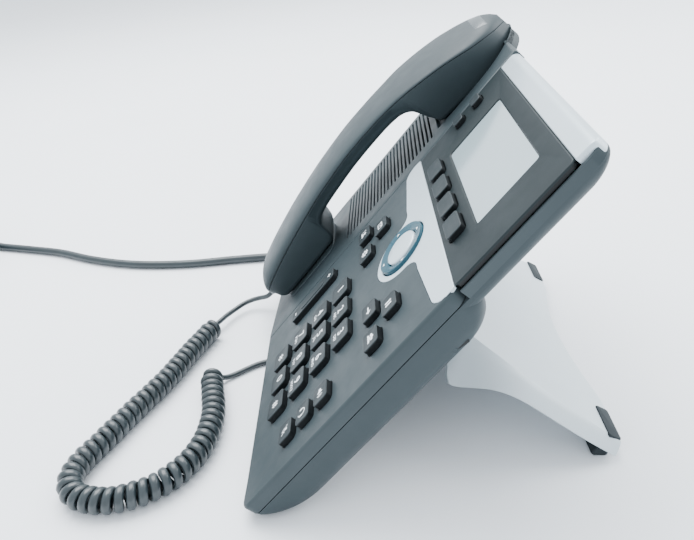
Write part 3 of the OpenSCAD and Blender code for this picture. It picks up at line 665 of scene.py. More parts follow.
def make_handset_cord():
    points, along = curly_wire()
    cut = FIXED_TURNS * TURN_POINTS
    lead_in = [Vector(p) for p in catmull(BASE_LEAD[::-1], 4)]
    lead_out = [Vector(p) for p in catmull(HANDSET_LEAD[::-1], 4)]
    trim = 3                     # points left out where the coil runs into a lead
    fixed = lead_in[:-2] + points[trim:cut + 1]
    free = points[cut:len(points) - trim] + lead_out[2:]
    half, wide = LEAD_D / 2, WIRE_W * MM / 2

    n_in, n_free = len(lead_in) - 2, len(points) - trim - cut

    def section(k, past_lead):
        """Round in a lead, and wider along the coil at the coil's point k."""
        if past_lead < 0:
            return None, half, half
        return along[k], half + (wide - half) * smoothstep(past_lead / TURN_POINTS), half

    def body_in(i):
        return section(i - n_in + trim, i - n_in)

    def body_out(i):
        return section(i + cut, n_free - i if i < n_free else -1)

    path_in, path_out = [p * MM for p in fixed], [p * MM for p in free]
    fixed_piece = sweep("handset_cord_fixed", path_in, body_in, "base", "handset_cord_jacket",
                        CURL_M, ("handset_cord_coil", "base_lead"))
    free_piece = sweep("handset_cord_free", path_out, body_out, "handset",
                       "handset_cord_jacket", CURL_M, ("handset_lead",),
                       blend=("base", "handset", path_out[0], path_out[-1]))
    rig.cord(fixed_piece, exit=path_in[0], length=round(length_of(path_in), 2), diameter=0.0034,
            far_end="object", stiffness="limp", lay="coiled", path=path_in,
            with_pieces=[base_plug])
    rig.cord(free_piece, exit=path_out[0], length=round(length_of(path_out), 2), diameter=0.0034,
            far_end="object", stiffness="limp", lay="coiled", path=path_out,
            with_pieces=[handset_plug])


def bundle_places():
    """The places of the network cord's turns in the bundle's section, each beside the next:
    (outwards, up) in diameters."""
    rise = math.sqrt(3) / 2
    return [(0.5, 0), (-0.5, 0), (-1, rise), (0, rise), (-0.5, 2 * rise), (0.5, 2 * rise),
            (1, rise)]


def make_network_cord():
    d = NET_D / MM
    places = bundle_places()
    points_per_turn = 40
    start = math.radians(158)           # where the cord runs into the coil
    swing = 0.16                        # part of a turn in which it steps to its next place
    coil = []
    total = int((COIL_TURNS - 0.30) * points_per_turn)
    for i in range(total + 1):
        turn = i / points_per_turn
        k = min(int(turn), COIL_TURNS - 1)
        into = smoothstep((turn - k) / swing)
        a = places[k - 1] if k else (1.05, 0)
        b = places[k]
        out = a[0] + (b[0] - a[0]) * into
        up = a[1] + (b[1] - a[1]) * into
        angle = start + TAU * turn
        r = COIL_R + out * d
        coil.append((COIL_C[0] + r * math.cos(angle), COIL_C[1] + r * math.sin(angle),
                     d / 2 + 0.1 + up * d))
    line = catmull(NET_CORD, 5) + [np.array(p) for p in coil] + \
        [np.array(p, float) for p in catmull([coil[-1], *NET_TAIL], 5)[3:]]
    path = without_repeats([Vector(p) * MM for p in line])
    piece = sweep("network_cord_whole", path, lambda i: (None, NET_D / 2, NET_D / 2), "base",
                  "network_cord_jacket", NET_M, ("network_cord", "network_coil"))
    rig.cord(piece, exit=path[0], length=round(length_of(path), 2), diameter=NET_D,
            far_end="connector", stiffness="medium", lay="coiled", path=path,
            with_pieces=[net_plug_base, net_plug_free])


def dress(node, surface):
    """Gives a carried-over CAD node its material."""
    NODES[node].data.materials.clear()
    NODES[node].data.materials.append(surface)
    return NODES[node]


base_plug = dress("base_cord_plug", PLUG)
handset_plug = dress("handset_cord_plug", PLUG)
net_plug_base = dress("network_plug_base", PLUG)
net_plug_free = dress("network_plug_free", PLUG)
make_handset_cord()
make_network_cord()


# ---------------------------------------------------------------- outlines of the face
PAD_KEY, ROUND_KEY, SIDE_KEY = (13.5, 12), (11.5, 9), (11.6, 9)
SOFT_KEY, LINE_KEY = (14.5, 8.5), (8.4, 6)
PAD_PITCH_X, PAD_PITCH_V, PAD_LOW_V = 18.4, 16.5, 22.6
CLUSTER_X, CLUSTER_HALF, CLUSTER_TOP_V, CLUSTER_LOW_V = 36, 10.2, 105, 92.5


def pad_at(i):
    return PANEL_X + (i % 3 - 1) * PAD_PITCH_X, PAD_LOW_V + (3 - i // 3) * PAD_PITCH_V


def cluster_at(side, i):
    """One key above two, beside the ring."""
    if i == 0:
        return PANEL_X + side * CLUSTER_X, CLUSTER_TOP_V
    return PANEL_X + side * CLUSTER_X + (2 * i - 3) * CLUSTER_HALF, CLUSTER_LOW_V


KEYS = {}
for i, key_name in enumerate(["1", "2", "3", "4", "5", "6", "7", "8", "9", "star", "0", "hash"]):
    KEYS["key_" + key_name] = (*pad_at(i), *PAD_KEY)
for i, key_name in enumerate(["voicemail", "contacts", "settings"]):
    KEYS[key_name + "_key"] = (*cluster_at(-1, i), *ROUND_KEY)
for i, key_name in enumerate(["hold", "transfer", "conference"]):
    KEYS[key_name + "_key"] = (*cluster_at(1, i), *ROUND_KEY)
for i, key_name in enumerate(["mute", "headset", "speaker"]):
    KEYS[key_name + "_key"] = (PANEL_X + 46.4, 33.8 + 12.7 * i, *SIDE_KEY)
BEZEL_KEYS = {}
for i in range(4):
    BEZEL_KEYS[f"soft_key_{i + 1}"] = (PANEL_X + (i - 1.5) * 19.7, 144.4, *SOFT_KEY)
for i in range(2):
    BEZEL_KEYS[f"line_key_{i + 1}"] = (-14.6, 177 - 12 * i, *LINE_KEY)


def hole_of(key, r=2.4):
    x, v, w, h = key
    return rounded_rect(x, v, w + 2 * KEY_GAP, h + 2 * KEY_GAP, r, 4)


def wing_outline(grow=0.0):
    """The silver wing: a band under the display with a round lobe about the ring."""
    lobe, fillet, band = 17.4 + grow, 7 - grow, 121 - grow
    cx, cv = NAV
    fx = math.sqrt((lobe + fillet) ** 2 - (cv - band + fillet) ** 2)
    touch = math.atan2(band - fillet - cv, fx)
    points = []
    # right side, from the top down the band, round the fillet, then round the lobe
    corner = 8 + grow
    right = [(cx + 55.8 + corner * math.cos(a), 132.2 + corner * math.sin(a))
             for a in np.linspace(math.asin(4 / corner), -math.acos(0.35), 7)]
    points += right
    points.append((cx + 28, band))
    for a in np.linspace(math.pi / 2, math.pi + touch, 8):
        points.append((cx + fx + fillet * math.cos(a), band - fillet + fillet * math.sin(a)))
    for a in np.linspace(touch, -math.pi - touch, 30)[1:-1]:
        points.append((cx + lobe * math.cos(a), cv + lobe * math.sin(a)))
    for a in np.linspace(-touch, math.pi / 2, 8):
        points.append((cx - fx + fillet * math.cos(a), band - fillet + fillet * math.sin(a)))
    points.append((cx - 28, band))
    points += [(2 * cx - x, v) for x, v in right[::-1]]
    return points[::-1]


def cover_outline():
    """The key panel and the strip beside the display."""
    r = 5.5
    def arc(cx, cv, start, stop):
        return [(cx + r * math.cos(math.radians(a)), cv + r * math.sin(math.radians(a)))
                for a in np.linspace(start, stop, 8)]
    return [*arc(-HALF_W + r, r, 180, 270), *arc(HALF_W - r, r, 270, 360),
            *arc(HALF_W - r, PANEL_H - r, 0, 90), (SPLIT_X, PANEL_H), (SPLIT_X, FACE_H),
            *arc(-HALF_W + r, FACE_H - r, 90, 180)]


def ear_outline(grow):
    foot, side = 25.8 + grow, EAR_R + grow
    points = [(-foot, 152.4 - grow), (foot, 152.4 - grow), (side, 170)]
    points += [(side * math.cos(a), EAR_V + side * math.sin(a)) for a in np.linspace(0, math.pi, 33)]
    points += [(-side, 170)]
    return [(HANDSET_X + x, v) for x, v in points]


def side_slope(x, v, w):
    """The handset's side of the face slopes away from the crease."""
    fall = max(0.0, (CREASE_X - x) / (CREASE_X + HALF_W))
    return x, v, w - SIDE_DROP * fall * smoothstep((w + 7.5) / 3)


# ---------------------------------------------------------------- base
GROOVE_X, GROOVE_W, GROOVE_D = CREASE_X + 3.6, 0.35, 0.8
SEAM_GAP = 0.45                  # the dark line between the covers
# The speaker's slots: left and right end, lowest slot, pitch, number and width of a slot
GRILLE = (-97.0, -37.0, 74.0, 3.0, 25, 1.3)


def make_front_cover():
    b = Builder()
    outer = cover_outline()
    top = b.fillet(outer, 1.5, 0, -SEAM + SEAM_GAP)
    # The wall inside the seam is black plastic: painted shade in the gap between the covers.
    b.walls(outer, ((0, -SEAM + SEAM_GAP), (0.9, -SEAM + SEAM_GAP), (0.9, -SEAM - 0.6)), kind=1)
    wing = wing_outline(0.15)
    holes = []
    for key in KEYS.values():
        holes.append(b.fillet(hole_of(key), 0.3, 0, -2.2, hole=True, steps=3))
    rocker = rounded_rect(*ROCKER[:2], ROCKER[2] + 0.8, ROCKER[3] + 1, 2.4, 5)
    holes.append(b.fillet(rocker, 0.3, 0, -2.2, hole=True, steps=3))
    holes.append(b.fillet(ear_outline(0.6), 0.9, 0, -3.4, hole=True))
    x0, x1, v0, pitch, count, slot_w = GRILLE
    for i in range(count):
        v = v0 + pitch * i + slot_w / 2
        slot = rounded_rect((x0 + x1) / 2, v, x1 - x0, slot_w, slot_w / 2 - 0.01, 3)
        holes.append(b.fillet(slot, 0.2, 0, -2.4, hole=True, steps=2))
    ledge = [p for p in wing if p[1] < PANEL_H - 0.5]
    cut = max(range(len(ledge)), key=lambda i: math.dist(ledge[i], ledge[i - 1]))
    ledge = ledge[cut:] + ledge[:cut]
    b.rings([level(ledge, 0), level(ledge, -1.6)], closed=False)
    lines = [[(CREASE_X + dx, 1.8), (CREASE_X + dx, FACE_H - 1.8)] for dx in (-0.5, 0, 0.5)]
    for dx in (-GROOVE_W, 0, GROOVE_W):
        lines.append([(GROOVE_X + dx, 1.8), (GROOVE_X + dx, 122)])
    b.fill(top, holes, 0, extra=lines, cut=[wing])

    def change(x, v, w):
        if abs(x - GROOVE_X) < 0.01 and w > -0.01:
            w -= GROOVE_D
        return side_slope(x, v, w)

    b.shape(change)
    pad = rounded_rect(HANDSET_X, 39, 38, 44, 6)
    edge = b.fillet(pad, 0.8, -0.8, -2.6)
    b.fill(edge, [], -0.8)
    b.piece("front_cover_shell", [SHELL, BLACK], "base", "shell_plastic", ["front_cover"])


def make_ear_pocket():
    """The cup that the ear end rests in, with the hole of the hook."""
    b = Builder()
    rim, hook = ear_outline(0.6), circle(HANDSET_X, 163, 4.3, 32)

    def floor(v):
        return -3.7 - 0.1 * (v - 150)

    rings = [level(rim, -2.0)]
    for i in range(5):
        a = math.pi / 2 * i / 4
        rings.append([(x, v, floor(v) + 1.4 * (1 - math.sin(a)))
                      for x, v in offset(rim, 1.4 * (1 - math.cos(a)))])
    b.rings(rings)
    start = len(b.verts)
    b.fill(offset(rim, 1.4), [hook], 0)
    b.verts[start:] = [(x, v, floor(v)) for x, v, _ in b.verts[start:]]
    b.rings([[(x, v, floor(v) + drop) for x, v in hook] for drop in (0, -4)])
    b.piece("ear_pocket", [SHELL], "base", "shell_plastic")


def make_bezel():
    b = Builder()
    x0, x1, v0, v1 = BEZEL
    outline = rounded_rect((x0 + x1) / 2, (v0 + v1) / 2, x1 - x0, v1 - v0, 2.5)
    edge = b.fillet(outline, 0.5, BEZEL_TOP, -0.4)
    # The bezel's side below its rounded edge is black: painted shade in the gap under the bezel.
    b.walls(outline, ((0, -0.4), (0.25, -0.5), (0.25, -2.0)), kind=1)
    window = rounded_rect(*WINDOW_C, *WINDOW, 1.5, 4)
    holes = [offset(window, -0.7)]
    b.walls(window, ((-0.7, BEZEL_TOP), (-0.45, 0.32), (0, -0.15), (0, -1.1)))
    for key in BEZEL_KEYS.values():
        holes.append(b.fillet(hole_of(key), 0.3, BEZEL_TOP, -2.0, hole=True, steps=3))
    b.fill(edge, holes, BEZEL_TOP)
    b.piece("bezel_frame", [BEZEL_M, BLACK], "base", "bezel_plastic", ["display_bezel"])


def make_window():
    b = Builder()
    pane = rounded_rect(*WINDOW_C, WINDOW[0] - 0.2, WINDOW[1] - 0.2, 1.4, 4)
    edge = b.fillet(pane, 0.15, -0.1, -1.1, steps=2)
    b.fill(edge, [], -0.1)
    b.piece("window_pane", [GLASS], "base", "window_plastic", ["display_window"])


def make_top_trim():
    """The silver strip that rolls over the top edge."""
    r, drop, x0, x1 = 4.0, 6.0, SPLIT_X + 0.4, HALF_W - 1.8
    v0 = BEZEL[3] + 0.2
    profile = [(v0, -drop), (v0, -0.4), (v0 + 0.4, 0)]
    profile += [(FACE_H - r + r * math.sin(a), -r + r * math.cos(a))
                for a in np.linspace(0, math.pi / 2, 12)]
    profile = [*profile, (FACE_H, -drop)][::-1]
    fillet = 0.7
    b = Builder()
    end = [(x0 + fillet * (1 - math.cos(a)), fillet * (1 - math.sin(a)))
           for a in (math.pi / 2 * i / 4 for i in range(5))]
    rings = end + [(HALF_W - 7 + k * 0.85, 0) for k in range(6)]
    rings += [(x0 + x1 - x, d) for x, d in end[::-1]]

    def corner(x):
        return FACE_H - 7.3 + math.sqrt(49 - max(0.0, x - HALF_W + 7) ** 2)

    b.rings([[(x, v if v < FACE_H - 6 else min(v, corner(x)), w) for v, w in offset(profile, d)]
             for x, d in rings], cap_first=True, cap_last=True)
    b.piece("top_trim_strip", [SILVER], "base", "silver_plastic", ["top_trim"])


def make_wing():
    b = Builder()
    outline = wing_outline(0)
    v_top = PANEL_H - 0.05
    outline = [(x, min(v, v_top)) for x, v in outline]
    edge = b.fillet(outline, 0.35, 0.05, -1.2, steps=3)
    hole = circle(*NAV, RING_R + 0.5, 64)
    rim = b.fillet(hole, 0.6, 0.05, -1.2, hole=True)
    b.fill(edge, [rim], 0.05)
    b.piece("wing_plate", [SILVER], "base", "silver_plastic", ["wing_trim"])


def blob(name, rows, steps):
    """A closed form through rounded rectangles: (half width, v0, v1, w, corner) each."""
    smooth = [(*r[:3], min(r[3], rows[0][3]), r[4]) for r in map(tuple, catmull(rows, steps))]
    return raw_object(name, [level(rounded_rect(0, (v0 + v1) / 2, 2 * hw, v1 - v0, r, 12), w)
                             for hw, v0, v1, w, r in smooth])


def raw_object(name, rings):
    b = Builder()
    b.rings(rings, cap_first=True, cap_last=True)
    mesh = bpy.data.meshes.new(name)
    mesh.from_pydata([on_face(*p) for p in b.verts], [], [tuple(f) for f in b.faces])
    clean(mesh)
    return new_object(name, mesh)


def box_object(name, x0, x1, v0, v1, w0, w1, r=0.8):
    outline = rounded_rect((x0 + x1) / 2, (v0 + v1) / 2, x1 - x0, v1 - v0, r, 3)
    return raw_object(name, [level(outline, w0), level(outline, w1)])


def boolean(target, tool, operation="DIFFERENCE"):
    """Joins tool to target or cuts it out, and removes it."""
    m = target.modifiers.new("b", "BOOLEAN")
    m.object = tool
    m.operation = operation
    m.solver = "EXACT"
    bpy.context.view_layer.update()
    depsgraph = bpy.context.evaluated_depsgraph_get()
    mesh = bpy.data.meshes.new_from_object(target.evaluated_get(depsgraph))
    target.modifiers.clear()
    target.data = mesh
    bpy.data.objects.remove(tool)


# The rear cover's two bowls, from the seam down: (half width, v0, v1, w, corner) each
LOWER = [(103, 0.05, 136.1, -6.5, 6), (102.9, 0.5, 137.6, -9, 6.8), (102.3, 3.2, 138, -13, 8),
         (101, 8.6, 135.6, -17.5, 8.6), (98.4, 14.6, 131.6, -21.2, 9.2),
         (94.6, 19.6, 127, -23.6, 10), (91, 23, 123.4, -24.45, 10.5)]
UPPER = [(103, 100, 204.6, -6.6, 7), (102.6, 100, 204.0, -8.4, 7.3),
         (101.4, 100, 202, -10.6, 7.8), (99.2, 100, 199.2, -12.5, 8.3),
         (96.6, 100, 196.6, -13.45, 8.8)]


def make_rear_cover():
    """Two joined bowls and the stand's seat, hollowed out, with the openings of the jacks, the
    stand's hooks and the wall hooks."""
    wall, mouth = 2.2, -5.0
    skin = blob("rear_cover_shell", LOWER, 4)
    boolean(skin, blob("upper", UPPER, 4), "UNION")
    side = ((74, -20), (80, -44), (94.6, -44), (92, -20))
    boolean(skin, raw_object("seat", [[(x, v, w) for v, w in side] for x in (-46, 46)]), "UNION")

    def inner(rows, start):
        rows = [(hw - wall, start or v0 + wall, v1 - wall, min(w + (wall if w < -10 else 0), -6), r)
                for hw, v0, v1, w, r in rows]
        return [(*rows[0][:3], mouth, rows[0][4]), *rows[1:]]

    boolean(skin, blob("low_in", inner(LOWER, None), 2))
    boolean(skin, blob("up_in", inner(UPPER, 120), 2))
    boolean(skin, box_object("jacks", -41.3, 41.3, 48.7, 71.3, -30, -18, 0.5))
    for s in (-1, 1):
        boolean(skin, box_object("slot", s * 28 - 5.4, s * 28 + 5.4, 95.2, 100.2, -28, -20))
        boolean(skin, box_object("hook", s * 60 - 4.2, s * 60 + 4.2, 108, 112, -28, -20))
    clean(skin.data, 30, least=1e-6, turn=False)
    skin.data.materials.clear()
    skin.data.materials.append(SHELL)
    register(skin, "base", "shell_plastic", ["rear_cover"])


def make_case_rim():
    """The rear cover's rim beside the display: a wall from the seam up to the bezel's side."""
    b = Builder()
    outline = rounded_rect(0, 152.3, 206, 104.6, 7, 10)
    path = [(x, v) for x, v in outline if x > SPLIT_X + 0.3 and v > 137]
    start = max(range(len(path)), key=lambda i: math.dist(path[i], path[i - 1]))
    path = path[start:] + path[:start]
    path = [(HALF_W, 136.6)] + path + [(SPLIT_X + 0.3, 204.6)]
    inner_path = []
    for i, p in enumerate(path):
        a, c = path[max(i - 1, 0)], path[min(i + 1, len(path) - 1)]
        d = Vector((c[0] - a[0], c[1] - a[1])).normalized()
        inner_path.append((p[0] - d.y * 1.1, p[1] + d.x * 1.1))
    shoulder = [((x * 3 + q[0]) / 4, (v * 3 + q[1]) / 4) for (x, v), q in zip(path, inner_path)]
    b.rings([level(path, -6.65), level(path, -2.7), level(shoulder, -2.35),
             level(inner_path, -2.3), level(inner_path, -6.65)], closed=False)
    b.face(b.add([(HALF_W, 136.6, -6.65), (HALF_W, 136.6, -2.7), (HALF_W - 1.1, 136.6, -2.3),
                  (HALF_W - 1.1, 136.6, -6.65)]))
    ledge = rounded_rect(97.4, 133.8, 10.4, 11, 4)
    b.rings([level(ledge, -SEAM - 1.2), level(ledge, -SEAM - 0.05)], cap_last=True)
    b.piece("display_case_rim", [SHELL], "base", "shell_plastic")


# ---------------------------------------------------------------- keys
def key_cap(b, x, v, w, h, base=-3.2, foot=True):
    """A key: its sides and the flange under the cover are black, and its dished top is painted."""
    top, r, fillet = KEY_RISE, 1.9, 0.4
    outline = rounded_rect(x, v, w, h, r, 6)
    shoulder = top - fillet
    if foot:
        foot_line = rounded_rect(x, v, w + 1.6, h + 1.6, r + 0.6, 6)
        rings = [level(foot_line, base), level(foot_line, base + 0.7), level(outline, base + 0.8)]
    else:
        rings = [level(outline, base)]
    b.rings([*rings, level(outline, shoulder - 0.25)], kind=1, cap_first=True)
    round_edge = [(fillet * (1 - math.cos(a)), shoulder + fillet * math.sin(a))
                  for a in (math.pi / 2 * i / 4 for i in range(5))]
    b.walls(outline, [(0, shoulder - 0.25), *round_edge[:2]], kind=1)
    b.walls(outline, round_edge[1:])
    b.walls(outline, [(fillet + d, top - s) for d, s in ((0, 0), (0.5, 0.03), (1.4, 0.08))],
            cap_last=True)


LETTERS = {"2": "ABC", "3": "DEF", "4": "GHI", "5": "JKL", "6": "MNO", "7": "PQRS", "8": "TUV",
           "9": "WXYZ"}


def glyphs(text, size):
    """A short text as flat triangles, centred, in mm."""
    data = bpy.data.curves.new("glyph", "FONT")
    data.body = text
    data.size = size
    data.align_x, data.align_y = "CENTER", "CENTER"
    data.resolution_u = 3
    data.offset = size * 0.012
    holder = new_object("glyph", data)
    mesh = holder.to_mesh()
    points = [(p.co.x, p.co.y) for p in mesh.vertices]
    faces = [tuple(f.vertices) for f in mesh.polygons]
    holder.to_mesh_clear()
    bpy.data.objects.remove(holder)
    bpy.data.curves.remove(data)
    xs, ys = [p[0] for p in points], [p[1] for p in points]
    mx, my = (min(xs) + max(xs)) / 2, (min(ys) + max(ys)) / 2
    return [(px - mx, py - my) for px, py in points], faces


def print_on(b, points, faces, x, v, scale=1.0):
    """Lays a flat shape on a key, a hair above the lowest part of its dished top."""
    ids = b.add([(x + px * scale, v + pv * scale, KEY_RISE - 0.06) for px, pv in points])
    for f in faces:
        b.face([ids[i] for i in f], 2)


def polygon(points):
    return points, [tuple(range(len(points)))]


def bar(x0, y0, x1, y1, t):
    d = Vector((x1 - x0, y1 - y0)).normalized() * t / 2
    return polygon([(x0 + d.y, y0 - d.x), (x1 + d.y, y1 - d.x), (x1 - d.y, y1 + d.x),
                    (x0 - d.y, y0 + d.x)])


def arc_band(cx, cy, r, t, start, stop, steps=14):
    a = [math.radians(start + (stop - start) * i / steps) for i in range(steps + 1)]
    points = [(cx + (r + s * t / 2) * math.cos(q), cy + (r + s * t / 2) * math.sin(q))
              for q in a for s in (-1, 1)]
    return points, [(2 * i, 2 * i + 1, 2 * i + 3, 2 * i + 2) for i in range(steps)]


def disc(cx, cy, r, steps=18):
    return polygon([(cx + r * math.cos(TAU * i / steps), cy + r * math.sin(TAU * i / steps))
                    for i in range(steps)])


# Plain signs for the function keys, about 5 mm wide
GEAR = [(1.5 * math.cos(a), 1.5 * math.sin(a), 2.5 * math.cos(a), 2.5 * math.sin(a))
        for a in (TAU * i / 8 for i in range(8))]
ICONS = {
    "voicemail": [bar(-2.4, -1.5, 2.4, -1.5, 0.5), bar(-2.4, 1.5, 2.4, 1.5, 0.5),
                  bar(-2.4, -1.7, -2.4, 1.7, 0.5), bar(2.4, -1.7, 2.4, 1.7, 0.5),
                  bar(-2.3, 1.4, 0, -0.3, 0.5), bar(0, -0.3, 2.3, 1.4, 0.5)],
    "contacts": [disc(0, 1.0, 1.0), arc_band(0, -1.9, 1.2, 1.4, 0, 180),
                 bar(-2.6, -2.0, -2.6, 2.2, 0.5)],
    "settings": [arc_band(0, 0, 1.3, 0.9, 0, 360, 24), *(bar(*tooth, 0.9) for tooth in GEAR)],
    "hold": [bar(-1.0, -2.0, -1.0, 2.0, 1.0), bar(1.0, -2.0, 1.0, 2.0, 1.0)],
    "transfer": [bar(-2.4, 0, 1.0, 0, 0.9), polygon([(0.8, -1.7), (2.8, 0), (0.8, 1.7)])],
    "conference": [disc(-1.5, 1.0, 0.8), disc(1.5, 1.0, 0.8), disc(0, 1.5, 0.95),
                   arc_band(-1.5, -1.6, 0.8, 1.2, 0, 180), arc_band(1.5, -1.6, 0.8, 1.2, 0, 180),
                   arc_band(0, -1.2, 0.9, 1.4, 0, 180)],
    "speaker": [polygon([(-2.4, -0.8), (-1.2, -0.8), (0.2, -2.0), (0.2, 2.0), (-1.2, 0.8),
                         (-2.4, 0.8)]),
                arc_band(0.2, 0, 1.3, 0.45, -50, 50), arc_band(0.2, 0, 2.3, 0.45, -50, 50)],
    "headset": [arc_band(0, 0, 2.0, 0.5, 0, 180), bar(-2.0, 0.3, -2.0, -1.7, 1.0),
                bar(2.0, 0.3, 2.0, -1.7, 1.0), arc_band(0.6, -1.2, 1.5, 0.4, 270, 350)],
    "mute": [bar(0, 0.2, 0, 2.0, 1.2), arc_band(0, 0.2, 1.4, 0.4, 180, 360),
             bar(0, -1.2, 0, -2.2, 0.5), bar(-2.2, 2.2, 2.2, -2.2, 0.45)]}


def make_keys():
    for key_name, (x, v, w, h) in (KEYS | BEZEL_KEYS).items():
        b = Builder()
        key_cap(b, x, v, w, h)
        if key_name.startswith("key_"):
            label = {"star": "*", "hash": "#"}.get(key_name[4:], key_name[4:])
            letters = LETTERS.get(label)
            raised = 1.2 if letters or label in "01" else 0
            print_on(b, *glyphs(label, 9.5 if label == "*" else 6.4), x, v + raised)
            if letters:
                print_on(b, *glyphs(letters, 2.6), x, v - 3.2)
        for points, faces in ICONS.get(key_name[:-4], ()):
            print_on(b, points, faces, x, v, 0.92)
        b.piece(key_name + "_cap", [KEY_TOP, BLACK, LEGEND], key_name, "key_plastic", [key_name])


def make_rocker():
    x, v, w, h = ROCKER
    b = Builder()
    key_cap(b, x, v, w, h, base=-3.0, foot=False)
    print_on(b, *bar(-1.3, 0, 1.3, 0, 0.6), x, v - 15)
    print_on(b, *bar(-1.3, 0, 1.3, 0, 0.6), x, v + 15)
    print_on(b, *bar(0, -1.3, 0, 1.3, 0.6), x, v + 15)
    rail = rounded_rect(x, v, 4.4, 21, 2.1, 6)
    edge = b.fillet(rail, 0.3, KEY_RISE + 0.25, KEY_RISE - 0.3)
    b.fill(edge, [], KEY_RISE + 0.25)
    b.rings(cross_pin(x - 8.1, x + 8.1, v, -4.2, 1.2), kind=1, cap_first=True, cap_last=True)
    stem = [(x - 3, v - 2), (x + 3, v - 2), (x + 3, v + 2), (x - 3, v + 2)]
    b.rings([level(stem, -5.2), level(stem, -2.9)], kind=1, cap_first=True, cap_last=True)
    b.piece("volume_rocker_cap", [KEY_TOP, BLACK, LEGEND], "volume", "key_plastic",
            ["volume_rocker"])


def make_nav_ring():
    """The navigation ring, with a dished face and four raised marks."""
    cx, cv = NAV
    section = [(RING_BORE, -3.4), (RING_BORE, -0.2), (RING_BORE + 0.15, 0.25),
               (RING_BORE + 0.5, 0.5), (RING_BORE + 1.3, 0.72), (RING_BORE + 2.3, 1.02),
               (RING_R - 1.0, 1.32), (RING_R - 0.45, 1.4), (RING_R - 0.12, 1.2),
               (RING_R, 0.8), (RING_R, -3.4), (RING_BORE, -3.4)]
    b = Builder()
    b.turned(cx, cv, section, 96)
    for k in range(4):
        a = TAU * k / 4
        r = (RING_BORE + RING_R) / 2
        mark = [(-1.1, -0.45), (1.1, -0.45), (0, 0.75)]
        turned = [(px * math.cos(a) - (py + r) * math.sin(a),
                   px * math.sin(a) + (py + r) * math.cos(a)) for px, py in mark]
        ids = b.add([(cx + px, cv + py, 1.2) for px, py in turned])
        b.face(ids, 1)
    pin = cross_pin(cx - RING_R - 2.6, cx - RING_R + 0.5, cv, -2.6, 1)
    b.rings(pin, cap_first=True, cap_last=True)
    b.rings([[(2 * cx - px, pv, z) for px, pv, z in ring] for ring in pin], cap_first=True,
            cap_last=True)
    b.piece("nav_ring_dish", [RING_M, LEGEND], "ring", "ring_plastic", ["nav_ring"])


def make_select_key():
    cx, cv = NAV
    r = RING_BORE - 0.4
    section = [(r - 0.4, -4.6), (r, -4.4), (r, 0.5), (r - 0.1, 0.85), (r - 0.4, 1.1),
               (r - 1.0, 1.28), (r - 3.0, 1.48), (r - 6.0, 1.6), (0.6, 1.62)]
    b = Builder()
    b.turned(cx, cv, section, 72, cap_first=True, cap_last=True)
    b.piece("select_key_dome", [SILVER], "select", "silver_plastic", ["select_key"])


# ---------------------------------------------------------------- handset
# Sections along it, from the mouth end: v, then the underside, the parting line, the top and
# the half width there
STATIONS = [(12.3, 6.0, 9.8, 12.0, 13.6), (14, 1.5, 11.5, 16.6, 18),
            (18, -0.4, 13.5, 20.2, 20.5), (27, -0.4, 16, 22.7, 21.8), (44, -0.4, 19.5, 25.7, 22.2),
            (61, -0.2, 22.2, 28, 22.4), (65, 3, 22.8, 28.4, 22.4), (68, 12.5, 23.2, 28.7, 22.4),
            (75, 16, 24.2, 29.3, 22.4), (90, 17.6, 25.6, 30.3, 22.4), (111, 18.6, 26.6, 30.7, 22.4),
            (131, 18.2, 26, 29.6, 22.8), (143, 16.9, 25, 28.3, 23.8), (149, 13, 24.4, 27.5, 24.6),
            (152, 3, 24, 27.1, 25.2), (154.5, -3.4, 23.6, 26.7, 25.6), (168, -4.9, 20.6, 23.7, 26.8),
            (181, -6.3, 16.8, 20.1, 27), (190, -7.2, 13.2, 17.2, 26), (198, -8, 9.8, 14.6, 22.4),
            (204.5, -8.4, 6.6, 12, 16.6), (208.5, -7, 4.4, 9.2, 10.4), (211, -3.4, 2.4, 6.2, 4.4)]


def monotone(rows, at):
    """Values between rows, smooth and without overshoot."""
    x = np.array([r[0] for r in rows], float)
    out = []
    for k in range(1, len(rows[0])):
        y = np.array([r[k] for r in rows], float)
        h, d = np.diff(x), np.diff(y) / np.diff(x)
        m = np.zeros(len(x))
        m[0], m[-1] = d[0], d[-1]
        for i in range(1, len(x) - 1):
            if d[i - 1] * d[i] > 0:
                w1, w2 = 2 * h[i] + h[i - 1], h[i] + 2 * h[i - 1]
                m[i] = (w1 + w2) / (w1 / d[i - 1] + w2 / d[i])
        i = min(max(int(np.searchsorted(x, at) - 1), 0), len(h) - 1)
        t = (at - x[i]) / h[i]
        out.append(y[i] * (1 + 2 * t) * (1 - t) ** 2 + h[i] * m[i] * t * (1 - t) ** 2
                   + y[i + 1] * t * t * (3 - 2 * t) + h[i] * m[i + 1] * t * t * (t - 1))
    return out


def handset_places():
    v0, v1 = STATIONS[0][0], STATIONS[-1][0]
    places = list(np.linspace(v0, v1, 74))
    places += list(np.linspace(61, 76, 22)) + list(np.linspace(147, 156, 20))
    places += list(np.linspace(v0, 16, 10)) + list(np.linspace(204, v1, 12))
    return sorted(set(round(p, 2) for p in places))


def crown(half_w, ridge, top, steps=30, gap=0.12):
    """The arch over the parting line, from one side to the other."""
    ring = []
    for i in range(steps + 1):
        a = math.pi * (1 - i / steps)
        rise = (top - ridge - 0.2) * math.sin(a) ** 0.8
        ring.append((half_w * math.cos(a), ridge + gap + 0.2 + rise))
    inner = half_w - 0.45
    return [(-inner, ridge + gap), (-half_w + 0.08, ridge + gap + 0.06), *ring,
            (half_w - 0.08, ridge + gap + 0.06), (inner, ridge + gap)]


